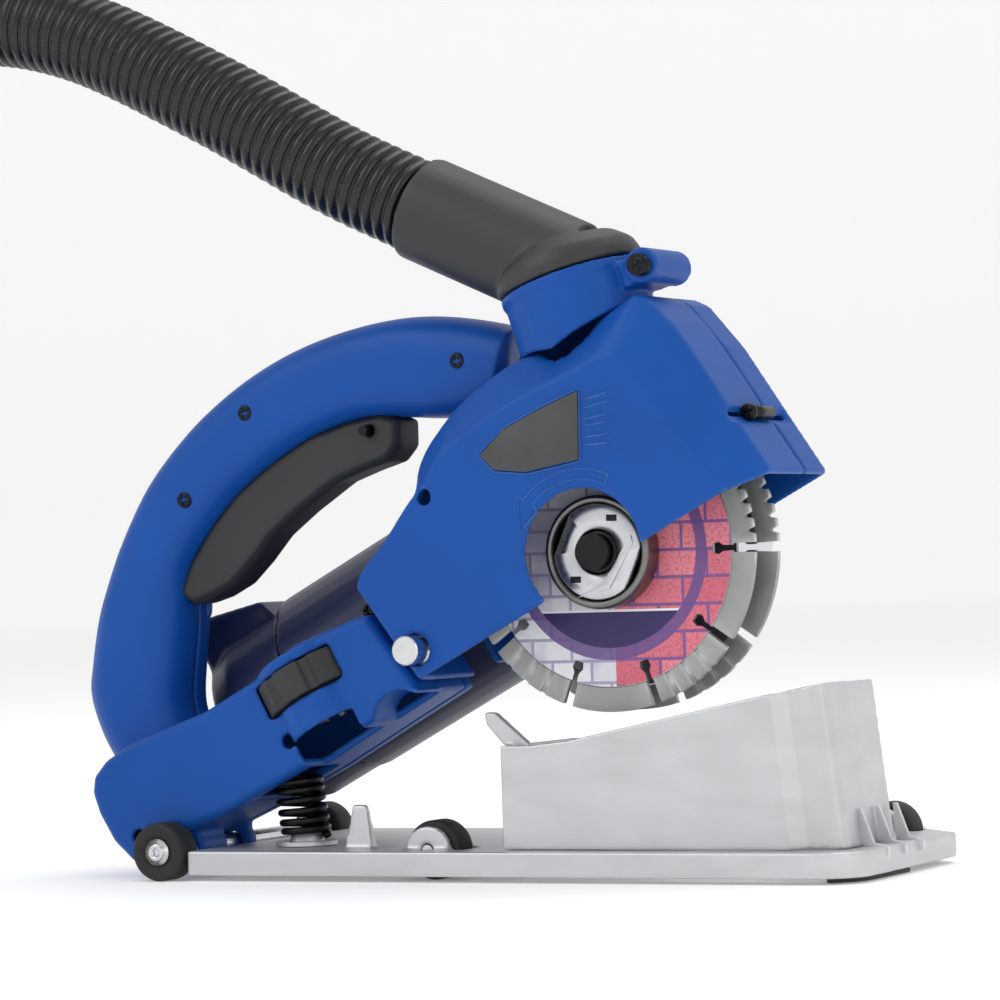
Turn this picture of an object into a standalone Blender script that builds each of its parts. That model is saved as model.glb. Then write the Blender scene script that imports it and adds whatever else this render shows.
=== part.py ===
"""Wall chaser: a twin-blade slotting machine with a plunging upper body on a wheeled sole plate.

Lengths below are millimetres and are turned into metres where a mesh is made. X runs forward, Y to the far
side and Z up. The rear axle is the plunge pivot. The upper body is drawn level in its own frame, whose origin
is the axle, and is then tilted nose up about it. Sides: the near side is -Y, the far side +Y.
"""

import math

import bmesh
import bpy
from mathutils import Matrix, Vector

MM = 0.001
GAP = 0.4

# Machine frame: the middle of the machine's length and width stands over the world's origin.
CENTRE_X = 121.87
CENTRE_Y = 2.15

# Base and wheels
REST_TILT = 27.5
WHEEL_R = 11.8
WHEEL_WIDTH = 13.5
AXLE_R = 4.0
PLATE_BOTTOM = 2.25
PLATE_TOP = 12.15
PLATE_REAR = 12.5
PLATE_FRONT = 302.0
PLATE_HALF_WIDTH = 69.0
ROLLER_Y = 65.1
MID_WHEEL = (117.0, -48.2)
FRONT_WHEEL = (266.0, 57.0)

# Dust hood on the plate
HOOD_REAR = 151.0
HOOD_NEAR = -60.3
HOOD_FAR = 3.6
HOOD_WALL = 2.1
HOOD_SKEW = 3.0

# Upper body, in its own level frame
PARTING_Y = -15.0
GUARD_NEAR = -64.5
GUARD_SHOULDER = -50.0
GUARD_FAR = 6.5
GUARD_WALL = 2.6
GUARD_FAR_R = 78.0
WHEEL_ARCH = (116.9, -4.7)
ARCH_R = 13.4
ARM_NEAR = -57.0
ARM_FAR = -6.0
HANDLE_HALF = 20.0
SPINDLE = (222.7, 14.0)
BLADE_R = 62.5
NEAR_BLADE_Y = -40.0
FAR_BLADE_Y = -17.4
PORT = (257.0, 116.8)
PORT_Y = -30.0
PORT_LEAN = 10.2
CLAMP = (291.5, 102.5)
MOTOR_Y = 36.0
MOTOR_W = 45.5
MOTOR_R = 40.8
GEAR_MODULE = 1.5
SPINDLE_TEETH = 22
PINION_TEETH = 20
RING_TEETH = 24
BEVEL_TEETH = 10
BEVEL_MODULE = 1.6
TURRET = (84.0, -42.0)
KNOB_R = 23.0
SPRING = (49.5, -36.0)
TRIGGER_PIN = (146.8, 112.2)
LOCK_PIN = (140.0, 16.2)

COLOURS = {
    "body_blue": ((0.012, 0.08, 0.33), 0.42, 0.0),
    "motor_navy": ((0.012, 0.017, 0.063), 0.45, 0.0),
    "black_plastic": ((0.03, 0.03, 0.032), 0.55, 0.0),
    "rubber": ((0.025, 0.025, 0.026), 0.7, 0.0),
    "cast_aluminium": ((0.6, 0.6, 0.6), 0.45, 0.9),
    "steel": ((0.55, 0.55, 0.56), 0.3, 1.0),
    "dark_steel": ((0.06, 0.06, 0.06), 0.35, 1.0),
    "segment": ((0.4, 0.39, 0.37), 0.6, 0.8),
    "copper": ((0.7, 0.3, 0.16), 0.35, 1.0),
    "carbon": ((0.03, 0.03, 0.03), 0.6, 0.0),
}


def clear_scene():
    for old in list(bpy.data.objects):
        bpy.data.objects.remove(old, do_unlink=True)


def new_collection(name):
    made = bpy.data.collections.new(name)
    bpy.context.scene.collection.children.link(made)
    return made


def new_empty(name, location, parent=None, tilt=0.0):
    empty = bpy.data.objects.new(name, None)
    empty.location = [value * MM for value in location]
    empty.rotation_euler = (0.0, -math.radians(tilt), 0.0)
    empty.parent = parent
    PARTS.objects.link(empty)
    return empty


def new_material(name):
    colour, roughness, metallic = COLOURS[name]
    made = bpy.data.materials.new(name)
    made.use_nodes = True
    shader = made.node_tree.nodes["Principled BSDF"]
    shader.inputs["Base Color"].default_value = (*colour, 1.0)
    shader.inputs["Roughness"].default_value = roughness
    shader.inputs["Metallic"].default_value = metallic
    return made


# ---------------------------------------------------------------- shapes


def finish(shape, name, frame, place=(0, 0, 0), finish_name=None):
    """Turn a bmesh in millimetres into an object at a place in a frame. A piece with no finish is a cutter."""
    bmesh.ops.remove_doubles(shape, verts=shape.verts, dist=1e-4)
    bmesh.ops.recalc_face_normals(shape, faces=shape.faces)
    bmesh.ops.scale(shape, vec=(MM, MM, MM), verts=shape.verts)
    mesh = bpy.data.meshes.new(name)
    shape.to_mesh(mesh)
    shape.free()
    piece = bpy.data.objects.new(name, mesh)
    piece.location = [value * MM for value in place]
    piece.parent = frame
    if finish_name is None:
        CUTTERS.objects.link(piece)
        piece.hide_render = True
        piece.display_type = "WIRE"
        return piece
    PARTS.objects.link(piece)
    mesh.materials.append(MATERIALS[finish_name])
    mesh.shade_smooth()
    mesh.set_sharp_from_angle(angle=math.radians(35))
    return piece


def box(low, high):
    shape = bmesh.new()
    bmesh.ops.create_cube(shape, size=1.0)
    size = [b - a for a, b in zip(low, high)]
    middle = [(a + b) / 2 for a, b in zip(low, high)]
    bmesh.ops.scale(shape, vec=size, verts=shape.verts)
    bmesh.ops.translate(shape, vec=middle, verts=shape.verts)
    return shape


def turned(profile, axis="Y", steps=32):
    """Spin a closed profile of (radius, along) points about the axis."""
    shape = bmesh.new()
    points = [shape.verts.new((radius, 0.0, along)) for radius, along in profile]
    loop = points + points[:1]
    edges = [shape.edges.new(pair) for pair in zip(loop, loop[1:])]
    bmesh.ops.spin(
        shape, geom=points + edges, cent=(0, 0, 0), axis=(0, 0, 1), angle=math.tau, steps=steps, use_merge=True
    )
    turn = {"X": Matrix.Rotation(math.pi / 2, 3, "Y"), "Y": Matrix.Rotation(-math.pi / 2, 3, "X")}
    if axis in turn:
        bmesh.ops.rotate(shape, cent=(0, 0, 0), matrix=turn[axis], verts=shape.verts)
    return shape


def rod(radius, start, end, axis="Y", steps=24, bore=0.0):
    """A solid rod, or a tube where it has a bore, between two places along its axis."""
    if bore:
        return turned([(bore, start), (bore, end), (radius, end), (radius, start)], axis, steps)
    shape = bmesh.new()
    bmesh.ops.create_cone(
        shape, cap_ends=True, segments=steps, radius1=radius, radius2=radius, depth=end - start
    )
    bmesh.ops.translate(shape, vec=(0, 0, (start + end) / 2), verts=shape.verts)
    turn = {"X": Matrix.Rotation(math.pi / 2, 3, "Y"), "Y": Matrix.Rotation(-math.pi / 2, 3, "X")}
    if axis in turn:
        bmesh.ops.rotate(shape, cent=(0, 0, 0), matrix=turn[axis], verts=shape.verts)
    return shape


def stack(levels, lie="side"):
    """Join matched outlines, each at its own level. Side outlines are (x, z) at a y, flat ones (x, y) at a z."""
    shape = bmesh.new()
    rings = []
    for level, outline in levels:
        if lie == "side":
            ring = [shape.verts.new((a, level, b)) for a, b in outline]
        else:
            ring = [shape.verts.new((a, b, level)) for a, b in outline]
        rings.append(ring)
    for lower, upper in zip(rings, rings[1:]):
        for i in range(len(lower)):
            j = (i + 1) % len(lower)
            shape.faces.new((lower[i], lower[j], upper[j], upper[i]))
    shape.faces.new(rings[0])
    shape.faces.new(rings[-1])
    return shape


def flowing(outline, closing_side=True, parts=2, sharp=38.0):
    """A closed outline with points added along smooth curves, and its corners over the sharp angle kept."""
    points = [Vector(p) for p in outline]
    count = len(points)
    sides = [(points[(i + 1) % count] - points[i]) for i in range(count)]
    keep_corner = [math.degrees(sides[i - 1].angle(sides[i])) > sharp for i in range(count)]
    made = []
    for i in range(count):
        j = (i + 1) % count
        here, there, side = points[i], points[j], sides[i]
        leave = side if keep_corner[i] else (sides[i - 1].normalized() + side.normalized()).normalized() * side.length
        reach = side if keep_corner[j] else (side.normalized() + sides[j].normalized()).normalized() * side.length
        for step in range(parts if closing_side or j else 1):
            t = step / parts
            curve = here * (2 * t**3 - 3 * t**2 + 1) + leave * (t**3 - 2 * t**2 + t)
            curve += there * (3 * t**2 - 2 * t**3) + reach * (t**3 - t**2)
            made.append((curve.x, curve.y))
    return made


def inset(outline, distance):
    """Move each side of a closed outline inwards by the distance."""
    area = sum(a[0] * b[1] - b[0] * a[1] for a, b in zip(outline, outline[1:] + outline[:1]))
    turn = 1.0 if area > 0 else -1.0
    moved = []
    for before, here, after in zip(outline[-1:] + outline[:-1], outline, outline[1:] + outline[:1]):
        into = Vector((here[0] - before[0], here[1] - before[1])).normalized()
        out = Vector((after[0] - here[0], after[1] - here[1])).normalized()
        normal = Vector((-into.y - out.y, into.x + out.x)) * turn
        normal.normalize()
        reach = distance / max(0.4, normal.dot(Vector((-into.y, into.x)) * turn))
        moved.append((here[0] + normal.x * reach, here[1] + normal.y * reach))
    return moved


def arc(centre, radius, start, end, count):
    """Points on an arc from the start angle to the end angle, in degrees."""
    points = []
    for i in range(count):
        angle = math.radians(start + (end - start) * i / (count - 1))
        points.append((centre[0] + radius * math.cos(angle), centre[1] + radius * math.sin(angle)))
    return points


def combine(piece, other, operation):
    step = piece.modifiers.new(operation.title(), "BOOLEAN")
    step.operation = operation
    step.object = other
    return step


def cut(piece, *others):
    for other in others:
        combine(piece, other, "DIFFERENCE")


def join(piece, *others):
    for other in others:
        combine(piece, other, "UNION")


def tube_curve(name, points, radius, resolution, finish_name, frame=None):
    curve = bpy.data.curves.new(name, "CURVE")
    curve.dimensions = "3D"
    curve.bevel_depth = radius * MM
    curve.bevel_resolution = resolution
    curve.use_fill_caps = True
    spline = curve.splines.new("POLY")
    spline.points.add(len(points) - 1)
    for slot, point in zip(spline.points, points):
        slot.co = (*[value * MM for value in point], 1.0)
    curve.materials.append(MATERIALS[finish_name])
    piece = bpy.data.objects.new(name, curve)
    piece.parent = frame
    PARTS.objects.link(piece)
    return piece


# ---------------------------------------------------------------- sole plate and hood


def build_plate(frame):
    corner = arc((PLATE_FRONT - 17, -PLATE_HALF_WIDTH + 17), 17, -90, 0, 5)
    outline = [(PLATE_REAR, -PLATE_HALF_WIDTH)] + corner
    outline += [(PLATE_FRONT - 4, 46), (PLATE_FRONT - 9, 51), (PLATE_FRONT - 26, PLATE_HALF_WIDTH)]
    outline += [(PLATE_REAR, PLATE_HALF_WIDTH)]
    shape = stack([(PLATE_BOTTOM, outline), (PLATE_TOP, outline)], "flat")
    plate = finish(shape, "base_plate", frame, finish_name="cast_aluminium")
    for side, reach in ((-1, 58.0), (1, 58.0)):
        ear = arc((0, WHEEL_R), 8.0, 60, 240, 9) + [(4, PLATE_BOTTOM + 1), (PLATE_REAR + 3, PLATE_BOTTOM + 1)]
        ear += [(PLATE_REAR + 3, PLATE_TOP - 1), (9, PLATE_TOP - 1)]
        edges = sorted((side * (reach - 5.5), side * reach))
        ear_shape = stack([(edges[0], ear), (edges[1], ear)])
        join(plate, finish(ear_shape, f"ear_{side}", frame))
    for name, centre, low in (("mid", MID_WHEEL, PLATE_TOP - 1), ("front", FRONT_WHEEL, PLATE_TOP - 1)):
        half = WHEEL_WIDTH / 2 + 1.0
        cheek = arc((centre[0], WHEEL_R), 9.8, 0, 180, 9)
        cheek = [(centre[0] + 9.8, low), *cheek, (centre[0] - 9.8, low)]
        for side in (-1, 1):
            edges = sorted((centre[1] + side * half, centre[1] + side * (half + 3.6)))
            cheek_shape = stack([(edges[0], cheek), (edges[1], cheek)])
            join(plate, finish(cheek_shape, f"{name}_cheek_{side}", frame))
        slot = box((centre[0] - 13.3, centre[1] - half, -1), (centre[0] + 13.3, centre[1] + half, 30))
        cut(plate, finish(slot, f"{name}_wheel_slot", frame))
        cut(plate, finish(rod(2.8, -15, 15, steps=16), f"{name}_pin_hole", frame, (centre[0], centre[1], WHEEL_R)))
    post_low = [(76.5, -54.0), (89.3, -54.0), (89.3, -48.5), (76.5, -48.5)]
    post_high = [(80.4, -53.0), (86.4, -53.0), (86.4, -49.5), (80.4, -49.5)]
    join(plate, finish(stack([(PLATE_TOP - 1, post_low), (29.6, post_high)], "flat"), "depth_post", frame))
    opening = box((HOOD_REAR + 5, HOOD_NEAR + 5, -1), (283, HOOD_FAR - 5, 20))
    cut(plate, finish(opening, "blade_opening", frame))
    cut(plate, finish(rod(AXLE_R + 0.4, -80, 80), "axle_hole", frame, (0, 0, WHEEL_R)))
    return plate


def hood_outline(front, grow):
    """Plan of the hood: the near wall steps in ahead of its front corner, and the front wall is slightly skewed."""
    near, far = HOOD_NEAR + grow, HOOD_FAR - grow
    return [
        (HOOD_REAR + grow, near),
        (front - 20 - grow * 0.4, near),
        (front - 14 - grow * 0.4, near + 6),
        (front - 5 - grow * 0.5, near + 7),
        (front - 1.5 - grow, near + 9),
        (front - grow, near + 12.5),
        (front - HOOD_SKEW - grow, far),
        (HOOD_REAR + grow, far),
    ]


def build_hood(frame):
    foot, top = PLATE_TOP + GAP, 90.0
    lean = 9.0
    outer = stack([(foot, hood_outline(292, 0)), (top, hood_outline(292 - lean, 0))], "flat")
    hood = finish(outer, "dust_hood", frame, finish_name="cast_aluminium")
    inner_levels = [(foot - 5, hood_outline(292, HOOD_WALL)), (top + 5, hood_outline(292 - lean, HOOD_WALL))]
    cut(hood, finish(stack(inner_levels, "flat"), "hood_space", frame))
    rim = [(140, 52.8), (163, 52.8), (180, 54.5), (300, 78.2), (300, 100), (140, 100)]
    cut(hood, finish(stack([(-90, rim), (40, rim)]), "hood_rim", frame))
    pivot = (0.0, WHEEL_R)
    reach = math.hypot(*SPINDLE)
    notch = arc(pivot, reach + 19, 25, 3.5, 7) + arc(pivot, reach - 19, 3.5, 25, 7)
    cut(hood, finish(stack([(-8, notch), (10, notch)]), "spindle_notch", frame))
    join(hood, build_fin(frame))


def build_fin(frame):
    """The bent fin that stands up from the hood's rear edge."""
    outline = [(141, 65.7), (145.5, 65.5), (152, 60), (160, 53.2), (160, 46), (154.4, 46), (154.4, 52.3), (149, 52.8)]
    outline += [(146.2, 56), (141.8, 60.8)]
    return finish(stack([(-53.5, outline), (-49.5, outline)]), "hood_fin", frame)


def build_brush(frame):
    outline = [(289, -61), (296, -52), (298, -46), (298, -4), (294, -4), (294, -45), (292, -50), (286, -58)]
    shape = stack([(0.3, outline), (PLATE_BOTTOM - GAP, outline)], "flat")
    return finish(shape, "brush_strip", frame, finish_name="rubber")


def build_wheels(frame):
    half = WHEEL_WIDTH / 2
    tyre = [(6.0, -half), (6.0, half), (WHEEL_R - 1, half), (WHEEL_R, half - 1), (WHEEL_R, 1 - half)]
    tyre += [(WHEEL_R - 1, -half)]
    small_tyre = [(2.9, -half)] + [(2.9, half)] + tyre[2:]
    for name, side in (("near", -1), ("far", 1)):
        finish(turned(tyre, steps=24), f"rear_{name}_roller", frame, (0, side * ROLLER_Y, WHEEL_R), "rubber")
        profile = [(0, 58.4), (5.6, 58.4), (5.6, 70.2), (3.3, 70.2), (3.3, 71.6), (0, 71.6)]
        place = (0, 0, WHEEL_R)
        shape = turned([(r, side * a) for r, a in profile], steps=24)
        finish(shape, f"axle_screw_{name}", frame, place, "steel")
    finish(rod(AXLE_R, -58.0, 58.0), "rear_axle", frame, (0, 0, WHEEL_R), "steel")
    for name, centre in (("mid", MID_WHEEL), ("front", FRONT_WHEEL)):
        place = (centre[0], centre[1], WHEEL_R)
        finish(turned(small_tyre, steps=24), f"{name}_wheel", frame, place, "rubber")
        finish(rod(2.4, -half - 4.2, half + 4.2, steps=16), f"{name}_wheel_pin", frame, place, "steel")


def build_spring(frame):
    seat = turned([(0, PLATE_TOP + GAP), (12.5, PLATE_TOP + GAP), (12.5, 14.2), (7, 14.2), (6, 17.5), (0, 17.5)], "Z")
    finish(seat, "spring_seat", frame, (*SPRING, 0), "steel")
    turns, per_turn, wire = 5.5, 9, 1.4
    radius, low, high = 9.2, 14.2 + GAP + wire, 42.5
    lean = (high - low) * 0.14
    points = []
    for i in range(int(turns * per_turn) + 1):
        angle = math.tau * i / per_turn
        rise = i / (turns * per_turn)
        x = SPRING[0] + radius * math.cos(angle) - lean * rise
        points.append((x, SPRING[1] + radius * math.sin(angle), low + (high - low) * rise))
    return tube_curve("plunge_spring", points, wire, 2, "dark_steel", frame)


# ---------------------------------------------------------------- housings

ARM = [(-21, 5), (-25.5, 17), (-26.3, 30), (-25, 39), (-21, 44.5), (-13, 47.5), (0, 48.2), (25, 44.8)]
ARM += [(38, 42.8), (72, 42.8), (88, 46.4), (120, 42), (124, 40.5), (129.6, 8), (129.6, 3), (104, 2.5)]
ARM += [(65, 1.5), (31, 2.3), (10, 3.8)]

SPINE = [(-24, 46), (-25.5, 62), (-23, 82), (-16, 92.5), (-4.5, 107.5)]
GRIP_SPINE = [(7, 118), (22, 129.5), (45.5, 143), (69.5, 152.5), (91, 157.5), (111.9, 159.5), (134.4, 158)]
GRIP_SPINE += [(158.8, 153.3)]
NOSE = [(181.4, 145.1), (198.5, 135.5), (213, 124.5), (221, 118)]
FOOT = [(219, 97.3), (212, 96.9), (198, 95), (186, 91)]
BELLY = [(181, 98), (158.4, 112.1), (139.9, 119.9), (120.5, 123.6), (99.8, 122.6), (80.3, 120), (62.6, 114.3)]
BELLY += [(45.8, 106.1), (34, 97), (37, 88.7), (25.4, 75), (15, 62), (12.5, 54), (17, 42), (-20, 42)]
GRIP_DEPTH = 4.2


def handle_outline():
    path = SPINE + GRIP_SPINE + NOSE + FOOT + BELLY
    recessed = inset(path, GRIP_DEPTH)
    first = len(SPINE)
    inner = recessed[first : first + len(GRIP_SPINE)]
    return SPINE + inner + NOSE + FOOT + BELLY


HANDLE_EDGE_R = 6.0


def rounded_levels(outline, face_y, parting_y):
    """Outline levels from the parting plane out to a face with a rounded edge."""
    radius = HANDLE_EDGE_R
    out = 1.0 if face_y > parting_y else -1.0
    turns = ((1.0, 0.0), (0.45, 0.16), (0.12, 0.52), (0.0, 1.0))
    levels = [(face_y - out * radius * depth, inset(outline, radius * grow + 0.01)) for grow, depth in turns]
    levels.append((parting_y, outline))
    return levels


def build_housings(frame):
    handle = handle_outline()
    halves = (("near", PARTING_Y - HANDLE_HALF, ARM_NEAR, -1.0), ("far", PARTING_Y + HANDLE_HALF, ARM_FAR, 1.0))
    for name, handle_face, arm_face, out in halves:
        parting = PARTING_Y + out * 0.2
        arm_levels = [(arm_face, inset(ARM, 2.2)), (arm_face - out * 2.2, ARM), (parting, ARM)]
        housing = finish(stack(arm_levels), f"housing_{name}", frame, finish_name="body_blue")
        grip = finish(stack(rounded_levels(handle, handle_face, parting)), f"{name}_handle", frame)
        if name == "far":
            saddle = rod(MOTOR_R + 0.6, -60, 200, "X", 36)
            cut(grip, finish(saddle, "motor_saddle", frame, (0, MOTOR_Y, MOTOR_W)))
        join(housing, grip)
        if name == "near":
            add_turret_bulge(housing, frame)
        lug = arc((0, 0), 9.0, 170, 370, 11) + [(12, 8), (-12, 8)]
        lug_y = (-50.0, -30.0) if name == "near" else (-12.0, ARM_FAR - 0.5)
        join(housing, finish(stack([(lug_y[0], lug), (lug_y[1], lug)]), f"{name}_hinge_lug", frame))
        inner_face = arm_face - out * 3.0
        space = inset(ARM, 3.0)
        cut(housing, finish(stack([(inner_face, space), (parting - out * 3, space)]), f"{name}_arm_space", frame))
        hollow = inset(handle, 4.0)
        hollow_face = handle_face - out * 6.0
        cut(housing, finish(stack([(hollow_face, hollow), (parting - out * 3, hollow)]), f"{name}_grip_space", frame))
        cut_trigger_slot(housing, frame, name, handle_face - out * 5.5, parting - out * 3)
        cut(housing, finish(rod(AXLE_R + 0.4, -70, 20), f"{name}_axle_bore", frame))
    near = bpy.data.objects["housing_near"]
    cut(near, finish(rod(9.4, -70, -51.8), "ear_relief", frame))
    lining = stack([(y, arc(WHEEL_ARCH, ARCH_R + 2.0, 30, 150, 11)) for y in (ARM_NEAR + 0.5, -37)])
    join(near, finish(lining, "wheel_arch_lining", frame))
    cut(near, finish(rod(ARCH_R, -70, -35, steps=32), "wheel_arch", frame, place3(WHEEL_ARCH)))


def add_turret_bulge(housing, frame):
    place = (TURRET[0], TURRET[1], 0)
    join(housing, finish(rod(KNOB_R - 2, 3.0, 44.0, "Z"), "turret_bulge", frame, place))
    cut(housing, finish(rod(KNOB_R - 5, 5.5, 41.5, "Z"), "bulge_space", frame, place))
    cut(housing, finish(rod(KNOB_R + 1, 24.6, 39.4, "Z"), "knob_slot", frame, place))
    cut(housing, finish(box((70, -70, -3), (100, -38, 12)), "stop_slot", frame))
    join(housing, finish(box((38, ARM_NEAR + 2, 14), (66, PARTING_Y - 3.5, 17)), "spring_ceiling", frame))
    spring_way = box((38, SPRING[1] - 12, -4), (66.5, SPRING[1] + 12, 9))
    cut(housing, finish(spring_way, "spring_way", frame))


def cut_trigger_slot(housing, frame, name, face, back):
    slot = [(26, 99), (45.8, 112), (62.6, 121), (80.3, 128), (99.8, 131), (120.5, 130), (139.9, 126), (158, 118)]
    slot += [(172, 104), (170, 92), (120, 95), (60, 84), (30, 84)]
    cut(housing, finish(stack([(face, slot), (back, slot)]), f"{name}_trigger_slot", frame))
    cut(housing, finish(rod(2.4, -60, 30, steps=16), f"{name}_pin_bore", frame, place3(TRIGGER_PIN)))


def place3(point, y=0.0):
    return (point[0], y, point[1])


def build_grip(frame):
    path = SPINE + GRIP_SPINE + NOSE + FOOT + BELLY
    inner = inset(path, GRIP_DEPTH - GAP)
    first = len(SPINE)
    count = len(GRIP_SPINE)
    back = list(reversed(inner[first : first + count]))
    band = GRIP_SPINE + back
    width = HANDLE_HALF - 6.5
    band = flowing(band)
    levels = [(PARTING_Y - width, band), (PARTING_Y + width, band)]
    return finish(stack(levels), "handle_overgrip", frame, finish_name="black_plastic")


# ---------------------------------------------------------------- blade guard

GUARD_RIM = [(134, 5), (128.5, 44), (127, 50), (131, 54.5), (137, 57.5), (148, 61), (160, 68.5), (164, 72.5)]
GUARD_RIM += [(169, 80), (176, 85.5), (186, 90), (198, 94), (212, 96), (231, 96), (238, 94), (247, 90)]
GUARD_RIM += [(257, 91), (285.5, 93), (290, 87), (295, 65), (298.5, 32), (301.5, 5)]
GUARD_FACE = [(136, 5), (130, 44), (129, 50), (133, 54), (139, 56.5), (149, 60), (164, 67), (170, 69)]
GUARD_FACE += [(177.5, 71.2), (182.6, 74.6), (188.7, 78.3), (200, 78.5), (211, 79.2), (225, 79.1), (236, 78.3)]
GUARD_FACE += [(243, 77.8), (255, 76.6), (268, 75.3), (272, 72), (277, 52), (282, 28), (286.5, 5)]


def shell(levels, name, frame, thickness):
    """An open skin through the levels, closed at its first level and open along its lower edge, made thick."""
    shape = bmesh.new()
    rings = [[shape.verts.new((a, y, b)) for a, b in outline] for y, outline in levels]
    for lower, upper in zip(rings, rings[1:]):
        for i in range(len(lower) - 1):
            shape.faces.new((lower[i], lower[i + 1], upper[i + 1], upper[i]))
    shape.faces.new(rings[0])
    piece = finish(shape, name, frame, finish_name="body_blue")
    skin = piece.modifiers.new("Wall", "SOLIDIFY")
    skin.thickness = thickness * MM
    skin.use_even_offset = True
    return piece, skin


def port_frame(frame):
    """Place and lean of the dust port's own axis in the upper body."""
    place = new_empty("dust_port_axis", (PORT[0], PORT_Y, PORT[1]), frame)
    place.rotation_euler = (0.0, math.radians(PORT_LEAN), 0.0)
    return place


def build_guard(frame, port):
    face, rim = flowing(GUARD_FACE, False), flowing(GUARD_RIM, False)
    near_levels = [(GUARD_NEAR, face), (GUARD_SHOULDER, rim), (PARTING_Y - 0.2, rim)]
    near, near_skin = shell(near_levels, "guard_near", frame, GUARD_WALL)
    far_rim = arc(SPINDLE, GUARD_FAR_R, 186.6, 128.0, 7) + GUARD_RIM[10:]
    far_levels = [(GUARD_FAR, far_rim), (PARTING_Y + 0.2, far_rim)]
    far, far_skin = shell(far_levels, "guard_far", frame, GUARD_WALL)
    near_skin.offset = -1.0
    far_skin.offset = -1.0
    hub = finish(rod(24.5, GUARD_NEAR - 5, GUARD_NEAR + 8, steps=32), "hub_opening", frame, place3(SPINDLE))
    cut(near, hub)
    cut(far, finish(rod(15.5, GUARD_FAR - 8, GUARD_FAR + 5, steps=32), "spindle_opening", frame, place3(SPINDLE)))
    saddle = rod(MOTOR_R + 0.6, 100, 150.2, "X", 36)
    cut(far, finish(saddle, "guard_motor_saddle", frame, (0, MOTOR_Y, MOTOR_W)))
    bore = finish(rod(24.0, -60, 20, "Z", 32), "port_bore", port)
    cut(near, bore)
    cut(far, bore)
    lock = finish(rod(6.3, GUARD_NEAR - 5, GUARD_NEAR + 14, steps=24), "lock_pin_bore", frame, place3(LOCK_PIN))
    cut(near, lock)
    return near, far


def build_port(frame, port):
    collar = [(26.0, -40), (26.0, 0), (29.5, 0), (29.5, -3), (28.5, -4.5), (28.5, -40)]
    piece = finish(turned(collar, "Z", 36), "dust_port", port, finish_name="body_blue")
    lug = rod(7.0, -16, 17, steps=16)
    join(piece, finish(lug, "clamp_lug", frame, (CLAMP[0], PORT_Y, CLAMP[1])))
    join(piece, finish(box((26.5, -15, -14), (33, 15, -3.5)), "clamp_web", port))
    cut(piece, finish(rod(26.0, -41, 5, "Z", 36), "collar_bore", port))
    cut(piece, finish(rod(2.6, -30, 30, steps=16), "clamp_screw_bore", frame, (CLAMP[0], PORT_Y, CLAMP[1])))
    top = [(a, b + 0.5) for a, b in GUARD_RIM[10:18]] + [(300, 93.8), (300, 40), (150, 40), (150, 90.5)]
    cut(piece, finish(stack([(-70, top), (10, top)]), "guard_top", frame))
    screw = turned([(0, -19.6), (4.3, -19.6), (4.3, -16.5), (2.2, -16.5), (2.2, 14), (0, 14)], steps=16)
    finish(screw, "clamp_screw", frame, (CLAMP[0], PORT_Y, CLAMP[1]), "dark_steel")
    return piece


def build_elbow(port):
    """A hollow 45 degree elbow: a swivel ring seated on the port and a straight pipe to the hose."""
    ring = turned([(0, GAP), (29.5, GAP), (29.8, 4), (28, 9), (22, 14), (0, 14)], "Z", 32)
    piece = finish(ring, "dust_elbow", port, finish_name="black_plastic")
    pipe_axis = new_empty("elbow_pipe_axis", (0, 0, 3.2), port)
    pipe_axis.rotation_euler = (0.0, math.radians(-48.0), 0.0)
    join(piece, finish(rod(21.3, -2, 72, "Z", 32), "elbow_pipe", pipe_axis))
    cut(piece, finish(rod(18.6, 3, 90, "Z", 24), "elbow_pipe_bore", pipe_axis))
    cut(piece, finish(rod(22.0, -5, 8, "Z", 24), "elbow_ring_bore", port))
    cut(piece, finish(rod(45.0, -45, GAP, "Z", 24), "elbow_foot_trim", port))
    return piece


# ---------------------------------------------------------------- drive


def gear_outline(teeth, module, outer_add=0.9, root=1.2, thickness=0.44):
    """A straight-flanked tooth form with running backlash: four points to a tooth."""
    pitch = teeth * module / 2
    points = []
    for tooth in range(teeth):
        middle = math.tau * tooth / teeth
        wide = math.tau / teeth * thickness
        for radius, offset in (
            (pitch - root * module, -wide * 0.72),
            (pitch + outer_add * module, -wide * 0.2),
            (pitch + outer_add * module, wide * 0.2),
            (pitch - root * module, wide * 0.72),
        ):
            points.append((radius * math.cos(middle + offset), radius * math.sin(middle + offset)))
    return points


def turn_points(points, angle):
    c, s = math.cos(angle), math.sin(angle)
    return [(a * c - b * s, a * s + b * c) for a, b in points]


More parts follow.
